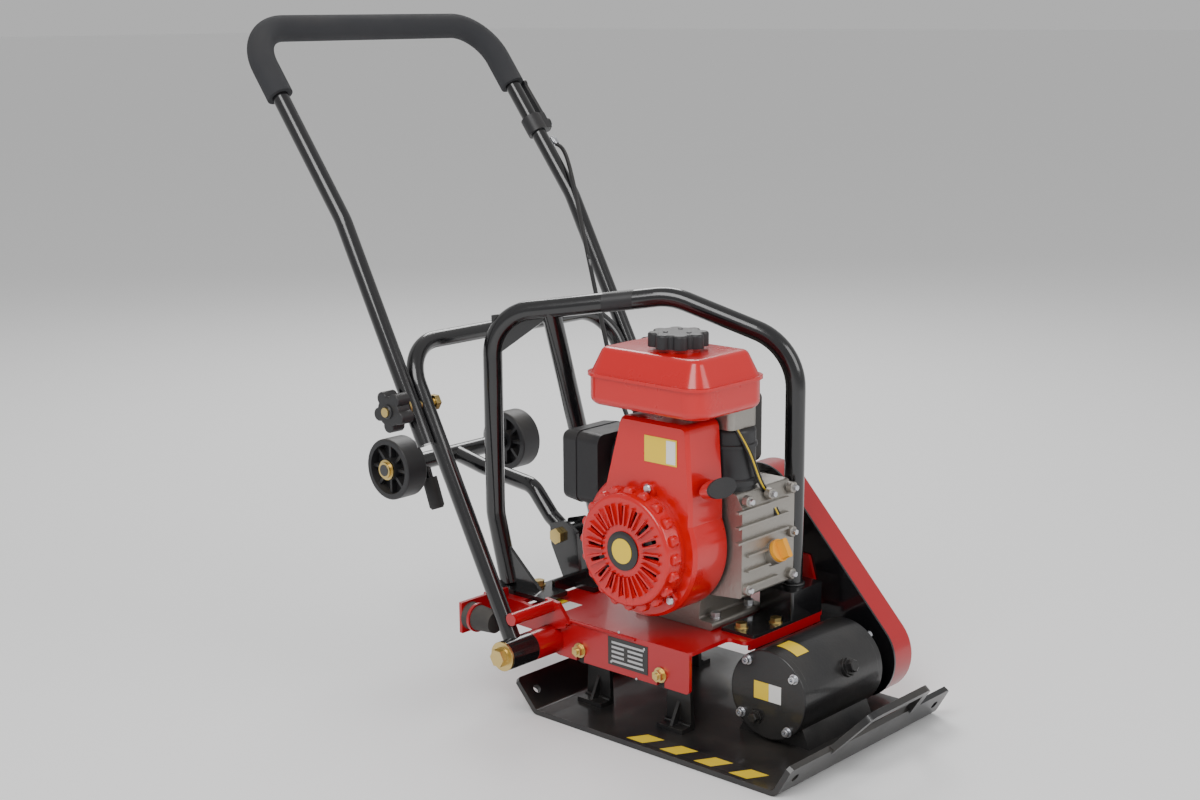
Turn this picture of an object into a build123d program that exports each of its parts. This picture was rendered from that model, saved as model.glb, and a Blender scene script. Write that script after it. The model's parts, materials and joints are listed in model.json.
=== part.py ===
from build123d import *
import os
from math import cos, radians, sin, sqrt, tan

# Forward vibratory plate compactor with a small petrol engine, in millimetres.
# +X is the way it travels, +Y its left-hand (belt) side, +Z up.
# The origin is the centre of the sole of the base plate.

os.makedirs("parts", exist_ok=True)

# ---- driving dimensions ---------------------------------------------------
gap = 0.3  # air between curved faces of different pieces
fit = 0.05  # radial clearance of a running fit

# base plate
plate_length = 376
plate_width = 330
plate_thickness = 7
front_run, front_rise = 22, 38
rear_run, rear_rise = 34, 36
fold_radius = 14
pad_hole_radius = 5.5
pad_hole_y = 145

# exciter
exciter_x = 97
exciter_radius = 55
exciter_lift = 5  # gap under the drum, filled by the saddle
drum_wall = 8
drum_near_y, drum_far_y = -50, 92
cover_thickness = 10
journal_radius = 12.5
bearing_radius = 31
bearing_width = 14
eccentric_radius = 38
shaft_end_radius = 10

# deck (sprung engine table)
deck_top = 121
deck_sheet = 5
deck_half_width = 125
deck_front, deck_rear = 30, -240
tongue_front = 57
tongue_right, tongue_left = -50, 110
skirt_bottom = 69
mount_x = (-145, -14)
mount_z = 84
rubber_radius = 19
upright_y = 88
upright_width = 40

# belt drive
crank_x, crank_z = -60, 233
guard_plate_y = 128
guard_plate_sheet = 3
guard_depth = 45
guard_crank_radius = 57
guard_exciter_radius = 55
belt_y = 152
pulley_width = 20
crank_pulley_pitch = 46.5
exciter_pulley_pitch = 31
crank_radius = 10

# handle
pivot_x, pivot_z = -192, 89
handle_angle = 28
handle_tube = 11
hoop_y = 190
hoop_height = 410
hoop_corner = 55
boss_radius = 18.5
boss_width = 44
pivot_bolt_radius = 8
upper_y = hoop_y + 2 * handle_tube + 0.5
knob_height = 330
upper_low = 280
upper_bend = 584
upper_angle = 37.5
grip_z = 842
grip_corner = 60
foam_radius = 17.5
foam_low_z = 757
knob_radius = 27
knob_width = 20

# cage
cage_tube = 12.5
tube_wall = 2
cage_foot_x, cage_foot_y = -298, -94
cage_rear_x = -321
cage_front_x, cage_front_y = 33, 75
cage_knee_z, cage_rear_z, cage_peak_z, cage_front_z = 224, 485, 518, 461
cage_peak_share = 0.6
bracket_top = 160
foot_plate = 6

# engine
engine_base = deck_top + 0.3
case_rear, case_front = -118, 46
case_right, case_left = -46, 58
case_top = 300
shroud_right, shroud_left = -112, -52
recoil_face = -140
recoil_radius = 73
tank_rear, tank_front = -128, 58
tank_right, tank_left = -143, -6
tank_bottom, tank_seam, tank_top = 404, 441, 473
cap_x, cap_y, cap_radius = -25, -80, 36

# carriage
axle_x, axle_z = -495, 258
wheel_radius = 42
wheel_width = 34
wheel_inner_y = 93
axle_radius = 8
carriage_pivot_x, carriage_pivot_z = -280, 183
arm_tube = 11

exciter_z = plate_thickness + exciter_lift + exciter_radius


def side_plane(y, x=0, z=0):
    """Sketch plane at y, seen from -Y, with X to the right and Z up, centred on (x, z)."""
    return Plane((x, y, z), x_dir=(1, 0, 0), z_dir=(0, -1, 0))


def along_handle(distance, lean=0.0):
    """X and Z of a point on the lower handle line, `lean` ahead of it."""
    a = radians(handle_angle)
    return (
        pivot_x - distance * sin(a) + lean * cos(a),
        pivot_z + distance * cos(a) + lean * sin(a),
    )


def save(builder, name):
    builder.part.label = name
    export_step(builder.part, f"parts/{name}.step")


def rod(x, z, radius, y_low, y_high):
    """Solid round bar along Y between two y values."""
    with BuildPart() as bar:
        with BuildSketch(side_plane(y_high)):
            with Locations((x, z)):
                Circle(radius)
        extrude(amount=y_high - y_low)
    return bar.part


def hexagon(x, z, across, y_low, y_high):
    """Hexagonal prism along Y, `across` over the flats."""
    with BuildPart() as prism:
        with BuildSketch(side_plane(y_high)):
            with Locations((x, z)):
                RegularPolygon(across / 2, 6, major_radius=False)
        extrude(amount=y_high - y_low)
    return prism.part


def tube(points, radii, radius, wall):
    """Bent tube: straight runs joined by tangent arcs."""
    with BuildPart() as bent:
        with BuildLine() as path:
            FilletPolyline(*points, radius=radii)
        with BuildSketch(Plane(path.line @ 0, z_dir=path.line % 0)):
            Circle(radius)
            if wall:
                Circle(radius - wall, mode=Mode.SUBTRACT)
        sweep(transition=Transition.RIGHT)
    return bent.part


# ---- base plate -----------------------------------------------------------
with BuildPart() as base_plate:
    with BuildSketch(side_plane(plate_width / 2)):
        with BuildLine():
            FilletPolyline(
                (-plate_length / 2 - rear_run, rear_rise),
                (-plate_length / 2, 0),
                (plate_length / 2, 0),
                (plate_length / 2 + front_run, front_rise),
                radius=fold_radius,
            )
            offset(amount=plate_thickness, side=Side.LEFT)
        make_face()
    extrude(amount=plate_width)
    corners = base_plate.edges().filter_by(lambda e: e.center().Z > 20 and e.length < 12)
    chamfer(corners.group_by(Axis.Y)[0] + corners.group_by(Axis.Y)[-1], length=4)
    # paving-pad holes, two in each turned-up end
    for end, run, rise in ((-1, rear_run, rear_rise), (1, front_run, front_rise)):
        middle = end * (plate_length / 2 + run * 0.55)
        lie = Plane((middle, 0, rise * 0.55), x_dir=(0, 1, 0), z_dir=(end * rise, 0, -run))
        with Locations(lie):
            with Locations((-pad_hole_y, 0), (pad_hole_y, 0)):
                Cylinder(pad_hole_radius, 4 * plate_thickness, mode=Mode.SUBTRACT)
save(base_plate, "base_plate")

# ---- lifting bail welded to the front of the plate ------------------------
bail_lean = Plane(
    (plate_length / 2 + front_run - 3, 0, front_rise - 1),
    x_dir=(0, 1, 0),
    z_dir=(plate_thickness * 5, 0, -30),
)
with BuildPart() as lifting_bail:
    with BuildSketch(bail_lean):
        with BuildLine():
            FilletPolyline((-88, -1), (-60, 58), (60, 58), (88, -1), radius=14)
            offset(amount=12, side=Side.RIGHT)
        make_face()
    extrude(amount=4, both=True)
    with BuildSketch(side_plane(100)):
        Polygon(
            (plate_length / 2 - 40, -10),
            (plate_length / 2, -10),
            (plate_length / 2 + front_run + 1, front_rise + plate_thickness * 0.05),
            (plate_length / 2 + front_run - 6, front_rise + 3.6),
            (plate_length / 2 - 5, plate_thickness + 0.2),
            (plate_length / 2 - 40, plate_thickness + 0.2),
            align=None,
        )
    extrude(amount=200, mode=Mode.SUBTRACT)
save(lifting_bail, "lifting_bail")

# ---- exciter --------------------------------------------------------------
drum_length = drum_far_y - drum_near_y
drum_bore = exciter_radius - drum_wall
with BuildPart() as exciter_housing:
    with BuildSketch(side_plane(drum_far_y)):
        with Locations((exciter_x, exciter_z)):
            Circle(exciter_radius)
    extrude(amount=drum_length)
    # saddle that carries the drum on the plate
    with BuildSketch(side_plane(drum_far_y - 4)):
        Polygon(
            (exciter_x - 52, plate_thickness),
            (exciter_x + 52, plate_thickness),
            (exciter_x + 40, exciter_z - 34),
            (exciter_x - 40, exciter_z - 34),
            align=None,
        )
    extrude(amount=drum_length - 8)
    # filler boss on the front of the drum
    with Locations(Plane((exciter_x, 30, exciter_z), z_dir=(1, 0, 0.45))):
        Cylinder(12, exciter_radius + 4, align=(Align.CENTER, Align.CENTER, Align.MIN))
    with BuildSketch(side_plane(drum_far_y + 1)):
        with Locations((exciter_x, exciter_z)):
            Circle(drum_bore)
    extrude(amount=drum_length + 2, mode=Mode.SUBTRACT)
    with Locations(Plane((exciter_x, 30, exciter_z), z_dir=(1, 0, 0.45))):
        Cylinder(6, exciter_radius + 9, align=(Align.CENTER, Align.CENTER, Align.MIN),
                 mode=Mode.SUBTRACT)
save(exciter_housing, "exciter_housing")

drive_cover_y = drum_far_y + cover_thickness
shaft_low, shaft_high = drum_near_y + 2, guard_plate_y + guard_depth - 9
with BuildPart() as exciter_end_cover:
    with BuildSketch(side_plane(drum_near_y, exciter_x, exciter_z)):
        Circle(exciter_radius)
    extrude(amount=cover_thickness)
    fillet(exciter_end_cover.edges().group_by(Axis.Y)[0], radius=2)
    with BuildSketch(side_plane(drum_near_y + bearing_width + 5, exciter_x, exciter_z)):
        Circle(drum_bore - fit)
        Circle(bearing_radius, mode=Mode.SUBTRACT)
    extrude(amount=bearing_width + 5)
save(exciter_end_cover, "exciter_end_cover")

with BuildPart() as exciter_drive_cover:
    with BuildSketch(side_plane(drive_cover_y, exciter_x, exciter_z)):
        Circle(exciter_radius)
        Circle(shaft_end_radius + fit, mode=Mode.SUBTRACT)
    extrude(amount=cover_thickness)
    fillet(exciter_drive_cover.edges().group_by(Axis.Y)[-1].sort_by(SortBy.LENGTH)[-1], radius=2)
    with BuildSketch(side_plane(drum_far_y, exciter_x, exciter_z)):
        Circle(drum_bore - fit)
        Circle(bearing_radius, mode=Mode.SUBTRACT)
    extrude(amount=bearing_width + 5)
save(exciter_drive_cover, "exciter_drive_cover")

cover_face_y = drum_near_y - cover_thickness
with BuildPart() as exciter_cover_bolts:
    for y, out in ((cover_face_y, 1), (drive_cover_y, -1)):
        face = Plane((exciter_x, y, exciter_z), x_dir=(1, 0, 0), z_dir=(0, -out, 0))
        with Locations(face):
            with PolarLocations(exciter_radius - 6.5, 4, start_angle=38):
                Cylinder(5.2, 1.6, align=(Align.CENTER, Align.CENTER, Align.MIN))
                Cylinder(4.5, 6.5, align=(Align.CENTER, Align.CENTER, Align.MIN))
    fillet(exciter_cover_bolts.edges().group_by(Axis.Y)[0], radius=0.6)
    for y, out in ((cover_face_y - 6.5, 1), (drive_cover_y + 6.5, -1)):
        face = Plane((exciter_x, y, exciter_z), x_dir=(1, 0, 0), z_dir=(0, -out, 0))
        with BuildSketch(face):
            with PolarLocations(exciter_radius - 6.5, 4, start_angle=38):
                RegularPolygon(2, 6, major_radius=False)
        extrude(amount=-4, mode=Mode.SUBTRACT)
save(exciter_cover_bolts, "exciter_cover_bolts")


bearing_low_y = drum_near_y + 4
bearing_high_y = drum_far_y - 4
with BuildPart() as exciter_bearings:
    for y in (bearing_low_y + bearing_width, bearing_high_y):
        with BuildSketch(side_plane(y, exciter_x, exciter_z)):
            Circle(bearing_radius - 0.02)
            Circle(journal_radius + fit, mode=Mode.SUBTRACT)
        extrude(amount=bearing_width)
        with BuildSketch(side_plane(y + 1, exciter_x, exciter_z)):
            Circle(bearing_radius - 4)
            Circle(journal_radius + 4, mode=Mode.SUBTRACT)
        extrude(amount=4, mode=Mode.SUBTRACT)
save(exciter_bearings, "exciter_bearings")

weight_low = bearing_low_y + bearing_width + 8
weight_high = bearing_high_y - bearing_width - 8
with BuildPart() as eccentric_shaft:
    with BuildSketch(side_plane(bearing_high_y + 3, exciter_x, exciter_z)):
        Circle(journal_radius)
    extrude(amount=bearing_high_y + 3 - shaft_low)
    with BuildSketch(side_plane(shaft_high, exciter_x, exciter_z)):
        Circle(shaft_end_radius)
    extrude(amount=shaft_high - bearing_high_y)
    with BuildSketch(side_plane(weight_high, exciter_x, exciter_z)):
        Circle(eccentric_radius)
        with Locations((0, 31)):
            Rectangle(90, 50, mode=Mode.SUBTRACT)
    extrude(amount=weight_high - weight_low)
save(eccentric_shaft, "eccentric_shaft")


def grooved_pulley(x, z, pitch, bore, hub):
    """V-belt pulley on the belt line, with a boss towards the machine."""
    rim = pitch + 5
    with BuildPart() as pulley:
        with BuildSketch(Plane((x, belt_y, z), x_dir=(0, 1, 0), z_dir=(1, 0, 0))):
            Polygon(
                (-pulley_width / 2, bore),
                (pulley_width / 2, bore),
                (pulley_width / 2, rim),
                (6.5, rim),
                (4, rim - 12),
                (-4, rim - 12),
                (-6.5, rim),
                (-pulley_width / 2, rim),
                align=None,
            )
            with Locations((-pulley_width / 2 - 2, (bore + hub) / 2)):
                Rectangle(6, hub - bore)
        revolve(axis=Axis((x, belt_y, z), (0, 1, 0)))
    return pulley


exciter_pulley = grooved_pulley(
    exciter_x, exciter_z, exciter_pulley_pitch, shaft_end_radius + 0.02, 15
)
save(exciter_pulley, "exciter_pulley")

# ---- uprights on the plate for the rubber mounts --------------------------
upright_top = mount_z + 16
with BuildPart() as mount_uprights:
    for x in mount_x:
        for side in (-1, 1):
            with BuildSketch(side_plane(side * upright_y + 3, x, 0)):
                Polygon(
                    (-upright_width / 2, plate_thickness),
                    (upright_width / 2, plate_thickness),
                    (16, upright_top),
                    (-16, upright_top),
                    align=None,
                )
                with Locations((0, mount_z)):
                    Circle(4.2, mode=Mode.SUBTRACT)
            extrude(amount=6)
            with Locations((x, side * (upright_y + 3 + 9), plate_thickness + 3)):
                Box(upright_width, 18, 6)
            with BuildSketch(Plane.YZ.offset(x - 2)):
                Polygon(
                    (side * (upright_y + 3), plate_thickness + 6),
                    (side * (upright_y + 18), plate_thickness + 6),
                    (side * (upright_y + 3), plate_thickness + 34),
                    align=None,
                )
            extrude(amount=4)
save(mount_uprights, "mount_uprights")

# ---- deck -----------------------------------------------------------------
skirt_y = deck_half_width - deck_sheet
slot_radius = 6
with BuildPart() as engine_deck:
    with BuildSketch(Plane.XY.offset(deck_top - deck_sheet)):
        with BuildLine():
            FilletPolyline(
                (deck_rear, -deck_half_width + 0.1),
                (deck_front, -deck_half_width + 0.1),
                (deck_front, tongue_right),
                (tongue_front, tongue_right),
                (tongue_front, tongue_left),
                (deck_front, tongue_left),
                (deck_front, deck_half_width - 0.1),
                (deck_rear, deck_half_width - 0.1),
                radius=7,
                close=True,
            )
        make_face()
    extrude(amount=deck_sheet)
    for side in (-1, 1):
        with BuildSketch(side_plane(side * (deck_half_width + skirt_y) / 2 + deck_sheet / 2)):
            with BuildLine():
                FilletPolyline(
                    (deck_rear, deck_top),
                    (deck_front, deck_top),
                    (deck_front, skirt_bottom),
                    (pivot_x + 12, skirt_bottom),
                    (pivot_x - 22, pivot_z - 14),
                    (deck_rear, deck_top - 18),
                    radius=5,
                    close=True,
                )
            make_face()
            with Locations((pivot_x, pivot_z)):
                Circle(boss_radius + fit, mode=Mode.SUBTRACT)
            for x in mount_x:
                with Locations((x, mount_z)):
                    Circle(slot_radius, mode=Mode.SUBTRACT)
                with Locations((x, (mount_z + skirt_bottom) / 2 - 1)):
                    Rectangle(2 * slot_radius, mount_z - skirt_bottom + 2, mode=Mode.SUBTRACT)
        extrude(amount=deck_sheet)
    # lip along the front of the tongue
    with BuildSketch(Plane.YZ.offset(tongue_front - 4)):
        with Locations(((tongue_right + tongue_left) / 2, deck_top - 8)):
            Rectangle(tongue_left - tongue_right - 16, 9)
    extrude(amount=4)
    # tab that steadies the belt guard
    with BuildSketch(side_plane(guard_plate_y, 20, deck_top)):
        with BuildLine():
            FilletPolyline((-18, -26), (12, -26), (12, 30), (2, 62), (-18, 62), radius=4, close=True)
        make_face()
    extrude(amount=4)
save(engine_deck, "engine_deck")

# ---- pivot tube through the deck, with its end bolts ----------------------
tube_end = hoop_y - boss_width / 2 - 0.6
with BuildPart() as pivot_tube:
    with BuildSketch(side_plane(tube_end, pivot_x, pivot_z)):
        Circle(boss_radius)
        Circle(pivot_bolt_radius + fit, mode=Mode.SUBTRACT)
    extrude(amount=2 * tube_end)
    with BuildSketch(side_plane(tube_end - 40, pivot_x, pivot_z)):
        Circle(boss_radius - 4)
    extrude(amount=2 * (tube_end - 40), mode=Mode.SUBTRACT)
save(pivot_tube, "pivot_tube")

washer_y = hoop_y + boss_width / 2 + 0.6
with BuildPart() as pivot_bolts:
    for side in (-1, 1):
        face = Plane((pivot_x, side * washer_y, pivot_z), x_dir=(1, 0, 0), z_dir=(0, side, 0))
        with BuildSketch(face):
            Circle(boss_radius)
        extrude(amount=3)
        with BuildSketch(face.offset(3)):
            Circle(12)
        extrude(amount=1.5)
        with BuildSketch(face.offset(4.5)):
            RegularPolygon(10, 6, major_radius=False)
        extrude(amount=8)
        with BuildSketch(face):
            Circle(pivot_bolt_radius)
        extrude(amount=-(washer_y - tube_end + 32))
save(pivot_bolts, "pivot_bolts")

# ---- rubber mounts and their nuts ----------------------------------------
with BuildPart() as rubber_mounts:
    for x in mount_x:
        for side in (-1, 1):
            inner = Plane((x, side * (upright_y + 3 + gap), mount_z), z_dir=(0, side, 0))
            with Locations(inner):
                Cylinder(
                    rubber_radius, skirt_y - upright_y - 3 - 2 * gap,
                    align=(Align.CENTER, Align.CENTER, Align.MIN),
                )
save(rubber_mounts, "rubber_mounts")

with BuildPart() as mount_nuts:
    for x in mount_x:
        for side in (-1, 1):
            face = Plane((x, side * deck_half_width, mount_z), z_dir=(0, side, 0))
            with BuildSketch(face):
                Circle(9.5)
            extrude(amount=1.8)
            with BuildSketch(face.offset(1.8)):
                RegularPolygon(6.5, 6, major_radius=False)
            extrude(amount=6.5)
            with BuildSketch(face.offset(-deck_sheet)):
                Circle(4)
            extrude(amount=deck_sheet + 11)
save(mount_nuts, "mount_nuts")

# ---- rear brackets: cage ledges, handle stops and buffer seats ------------
stop_x, stop_z = along_handle(38, handle_tube + 8 + 4.2)
buffer_z = 118
buffer_front = pivot_x - (buffer_z - pivot_z) * tan(radians(handle_angle)) - (
    handle_tube / cos(radians(handle_angle)) + 8
)
buffer_length = 40
ledge_z = deck_top + 6
with BuildPart() as rear_brackets:
    for side in (-1, 1):
        low_y = side * (deck_half_width + 3) + 3
        with BuildSketch(side_plane(low_y)):
            with BuildLine():
                FilletPolyline(
                    (pivot_x + 28, deck_top - 3),
                    (pivot_x + 28, pivot_z + boss_radius + 2),
                    (pivot_x - boss_radius - 6, pivot_z + 6),
                    (buffer_front - buffer_length - 10, buffer_z - 22),
                    (cage_foot_x - 12, ledge_z - 16),
                    (cage_foot_x - 12, ledge_z),
                    (deck_rear - 4, ledge_z),
                    radius=4,
                    close=True,
                )
            make_face()
            with Locations((pivot_x, pivot_z)):
                Circle(boss_radius + gap, mode=Mode.SUBTRACT)
        extrude(amount=6)
        # ledge under the cage foot
        with Locations((
            (cage_foot_x - 12 + deck_rear - 4) / 2,
            side * (deck_half_width + 72) / 2,
            ledge_z - 2.5,
        )):
            Box(deck_rear - 4 - cage_foot_x + 12, deck_half_width - 72 + 4, 5)
        # seat of the rubber buffer
        with Locations((buffer_front - buffer_length - 6.5, side * 165, buffer_z)):
            Box(5, 84, 40)
        # forward stop bar
        reach = Plane((stop_x, side * (deck_half_width + 4), stop_z), z_dir=(0, side, 0))
        with BuildSketch(reach):
            Circle(8)
        extrude(amount=hoop_y + 12 - deck_half_width - 4)
        with BuildSketch(side_plane(low_y)):
            Polygon(
                (stop_x - 10, stop_z + 8), (stop_x + 12, stop_z + 6),
                (pivot_x + 34, deck_top - 5), (pivot_x, deck_top - 8), align=None,
            )
        extrude(amount=6)
    fillet(rear_brackets.faces().filter_by(GeomType.PLANE).group_by(Axis.Y)[0].edges(), radius=2)
save(rear_brackets, "rear_brackets")

with BuildPart() as handle_buffers:
    for side in (-1, 1):
        seat = Plane((buffer_front - buffer_length - 4, side * hoop_y, buffer_z), z_dir=(1, 0, 0))
        with BuildSketch(seat):
            Circle(17.5)
        with BuildSketch(seat.offset(buffer_length + 4)):
            Circle(13.5)
        loft()
save(handle_buffers, "handle_buffers")

# ---- rear cross bar with the carriage clevis ------------------------------
bar_x = deck_rear - 18
with BuildPart() as rear_cross_bar:
    with BuildSketch(Plane.XZ.offset(-70)):
        with BuildLine():
            FilletPolyline(
                (bar_x - 18, ledge_z - 5), (bar_x + 18, ledge_z - 5), (bar_x + 18, ledge_z + 13),
                radius=3,
            )
            offset(amount=5, side=Side.LEFT)
        make_face()
    extrude(amount=140)
    for side in (-1, 1):
        with BuildSketch(side_plane(side * 17 + 2.5)):
            with BuildLine():
                FilletPolyline(
                    (bar_x - 14, ledge_z - 2), (bar_x + 16, ledge_z - 2),
                    (bar_x + 10, carriage_pivot_z + 10),
                    (carriage_pivot_x + 12, carriage_pivot_z + 22),
                    (carriage_pivot_x - 16, carriage_pivot_z + 14),
                    (carriage_pivot_x - 14, carriage_pivot_z - 14),
                    radius=4, close=True,
                )
            make_face()
            with Locations((carriage_pivot_x, carriage_pivot_z)):
                Circle(6.1, mode=Mode.SUBTRACT)
        extrude(amount=5)
    with Locations((deck_rear + 6, 0, deck_top + 4)):
        Box(52, 60, 7)
save(rear_cross_bar, "rear_cross_bar")

with BuildPart() as carriage_pin:
    with BuildSketch(side_plane(19.6, carriage_pivot_x, carriage_pivot_z)):
        Circle(6)
    extrude(amount=39.2)
    for side in (-1, 1):
        face = Plane((carriage_pivot_x, side * 19.6, carriage_pivot_z), z_dir=(0, side, 0))
        with BuildSketch(face):
            RegularPolygon(9.5, 6, major_radius=False)
        extrude(amount=7)
    latch = Plane((carriage_pivot_x + 4, 19.6, carriage_pivot_z - 31), z_dir=(0, 1, 0))
    with BuildSketch(latch):
        Circle(4)
    extrude(amount=10)
    with BuildSketch(latch.offset(6)):
        RegularPolygon(6.5, 6, major_radius=False)
    extrude(amount=5)
save(carriage_pin, "carriage_pin")

carriage_arm = [
    (carriage_pivot_x - 6, 0, carriage_pivot_z),
    (-312, 0, 200),
    (-345, 0, 236),
    (-440, 0, 247),
    (axle_x, 0, axle_z),
]
with BuildPart() as carriage_frame:
    add(tube(carriage_arm, [20, 30, 60], arm_tube, 0))
    add(rod(carriage_pivot_x, carriage_pivot_z, 13, -14.2, 14.2))
    add(rod(axle_x, axle_z, axle_radius, -wheel_inner_y - wheel_width - 7, wheel_inner_y + wheel_width + 7))
    add(rod(axle_x, axle_z, 12, -wheel_inner_y + 6, wheel_inner_y - 6))
    with BuildSketch(side_plane(20, carriage_pivot_x, carriage_pivot_z)):
        Circle(6 + fit)
    extrude(amount=40, mode=Mode.SUBTRACT)
    with Locations(Plane((axle_x + 3, -60, axle_z - 6), z_dir=(20, 0, -54))):
        Cylinder(5.5, 60, align=(Align.CENTER, Align.CENTER, Align.MIN))
save(carriage_frame, "carriage_frame")

for side, name in ((-1, "wheel_right"), (1, "wheel_left")):
    middle = Plane(
        (axle_x, side * (wheel_inner_y + wheel_width / 2), axle_z),
        x_dir=(1, 0, 0), z_dir=(0, -1, 0),
    )
    with BuildPart() as wheel:
        with BuildSketch(middle):
            Circle(wheel_radius)
            Circle(wheel_radius - 8, mode=Mode.SUBTRACT)
        extrude(amount=wheel_width / 2, both=True)
        fillet(wheel.edges().filter_by(lambda e: e.length > 6 * wheel_radius), radius=2.5)
        with BuildSketch(middle):
            Circle(wheel_radius - 4)
        extrude(amount=3, both=True)
        with BuildSketch(middle):
            Circle(15)
        extrude(amount=wheel_width / 2, both=True)
        with BuildSketch(middle):
            with PolarLocations(23, 8):
                Rectangle(24, 4)
        extrude(amount=wheel_width / 2 - 5, both=True)
        with BuildSketch(middle):
            Circle(axle_radius + fit)
        extrude(amount=wheel_width, both=True, mode=Mode.SUBTRACT)
    save(wheel, name)

latch_x, latch_z = carriage_pivot_x + 4, carriage_pivot_z - 31

with BuildPart() as carriage_latch:
    with BuildSketch(side_plane(25, latch_x, latch_z)):
        with BuildLine():
            FilletPolyline(
                (-38, -12), (9, -9), (10, 9), (-38, 6), radius=3.5, close=True,
            )
        make_face()
        Circle(4 + fit, mode=Mode.SUBTRACT)
    extrude(amount=4)
save(carriage_latch, "carriage_latch")

# ---- lower handle hoop ----------------------------------------------------
leg_x, leg_z = along_handle(10)
top_x, top_z = along_handle(hoop_height)
knob_x, knob_z = along_handle(knob_height)
hoop_line = [
    (leg_x, hoop_y, leg_z), (top_x, hoop_y, top_z), (top_x, -hoop_y, top_z), (leg_x, -hoop_y, leg_z),
]
with BuildPart() as lower_hoop:
    add(tube(hoop_line, hoop_corner, handle_tube, 0))
    for side in (-1, 1):
        low = side * hoop_y - boss_width / 2
        add(rod(pivot_x, pivot_z, boss_radius, low, low + boss_width))
    add(tube(hoop_line, hoop_corner, handle_tube - tube_wall, 0), mode=Mode.SUBTRACT)
    for side in (-1, 1):
        low = side * hoop_y - boss_width / 2
        add(rod(pivot_x, pivot_z, boss_radius - 0.5, low + 3, low + boss_width - 3))
        add(rod(knob_x, knob_z, 8, side * hoop_y - 8, side * hoop_y + 8))
        add(rod(pivot_x, pivot_z, pivot_bolt_radius + fit, low - 1, low + boss_width + 1),
            mode=Mode.SUBTRACT)
        add(rod(knob_x, knob_z, 6 + fit, side * hoop_y - 20, side * hoop_y + 20),
            mode=Mode.SUBTRACT)
save(lower_hoop, "lower_hoop")

with BuildPart() as handle_bolts:
    for side in (-1, 1):
        add(rod(knob_x, knob_z, 6, min(side * 178, side * 258), max(side * 178, side * 258)))
        add(hexagon(knob_x, knob_z, 18, min(side * 171, side * 178.5), max(side * 171, side * 178.5)))
save(handle_bolts, "handle_bolts")

# ---- upper handle ---------------------------------------------------------
low_x, low_z = along_handle(upper_low)
bend_x, bend_z = along_handle(upper_bend)
grip_x = bend_x - (grip_z - bend_z) * tan(radians(upper_angle))
foam_x = bend_x - (foam_low_z - bend_z) * tan(radians(upper_angle))
upper_line = [
    (low_x, upper_y, low_z), (bend_x, upper_y, bend_z), (grip_x, upper_y, grip_z),
    (grip_x, -upper_y, grip_z), (bend_x, -upper_y, bend_z), (low_x, -upper_y, low_z),
]
upper_radii = [80, grip_corner, grip_corner, 80]
foam_line = [
    (foam_x, upper_y, foam_low_z), (grip_x, upper_y, grip_z),
    (grip_x, -upper_y, grip_z), (foam_x, -upper_y, foam_low_z),
]
with BuildPart() as upper_handle:
    add(tube(upper_line, upper_radii, handle_tube, 0))
    add(tube(upper_line, upper_radii, handle_tube - tube_wall, 0), mode=Mode.SUBTRACT)
    for side in (-1, 1):
        add(rod(knob_x, knob_z, 8, side * upper_y - 9.5, side * upper_y + 9.5))
        add(rod(knob_x, knob_z, 6 + fit, side * upper_y - 20, side * upper_y + 20),
            mode=Mode.SUBTRACT)
        end = Plane((low_x, side * upper_y, low_z),
                    z_dir=(-sin(radians(handle_angle)), 0, cos(radians(handle_angle))))
        with Locations(end):
            Cylinder(handle_tube, 3)
save(upper_handle, "upper_handle")

with BuildPart() as foam_grip:
    add(tube(foam_line, grip_corner, foam_radius, foam_radius - handle_tube - fit))
save(foam_grip, "foam_grip")

washer_low = upper_y + handle_tube + 0.4

for side, name in ((-1, "knob_right"), (1, "knob_left")):
    face = Plane((knob_x, side * (washer_low + 2.9), knob_z), z_dir=(0, side, 0))
    with BuildPart() as knob:
        with BuildSketch(face):
            Circle(13)
        extrude(amount=7)
        with BuildSketch(face.offset(6)):
            Circle(knob_radius - 8)
            with PolarLocations(knob_radius - 8.5, 5):
                Circle(8.5)
        extrude(amount=knob_width)
        fillet(knob.edges().group_by(Axis.Y)[0 if side < 0 else -1], radius=2)
        with BuildSketch(face):
            Circle(6 + fit)
        extrude(amount=40, mode=Mode.SUBTRACT)
    save(knob, name)

# ---- throttle on the left leg --------------------------------------------
clamp_run = 120
a = radians(upper_angle)
clamp_x, clamp_z = bend_x - clamp_run * sin(a), bend_z + clamp_run * cos(a)
leg_plane = Plane((clamp_x, upper_y, clamp_z), x_dir=(0, 1, 0), z_dir=(-sin(a), 0, cos(a)))
lever_y = upper_y + handle_tube + 8
with BuildPart() as throttle_clamp:
    with BuildSketch(leg_plane):
        Circle(handle_tube + 4)
        with Locations((handle_tube + 1, 0)):
            Rectangle(12, 26)
    extrude(amount=13, both=True)
    with BuildSketch(leg_plane):
        Circle(handle_tube + fit)
    extrude(amount=20, both=True, mode=Mode.SUBTRACT)
    add(rod(clamp_x, clamp_z, 4, upper_y + handle_tube + 4, lever_y + 14))
    add(rod(clamp_x, clamp_z, 12, upper_y + handle_tube + 4, lever_y - 0.4))
save(throttle_clamp, "throttle_clamp")

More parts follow.
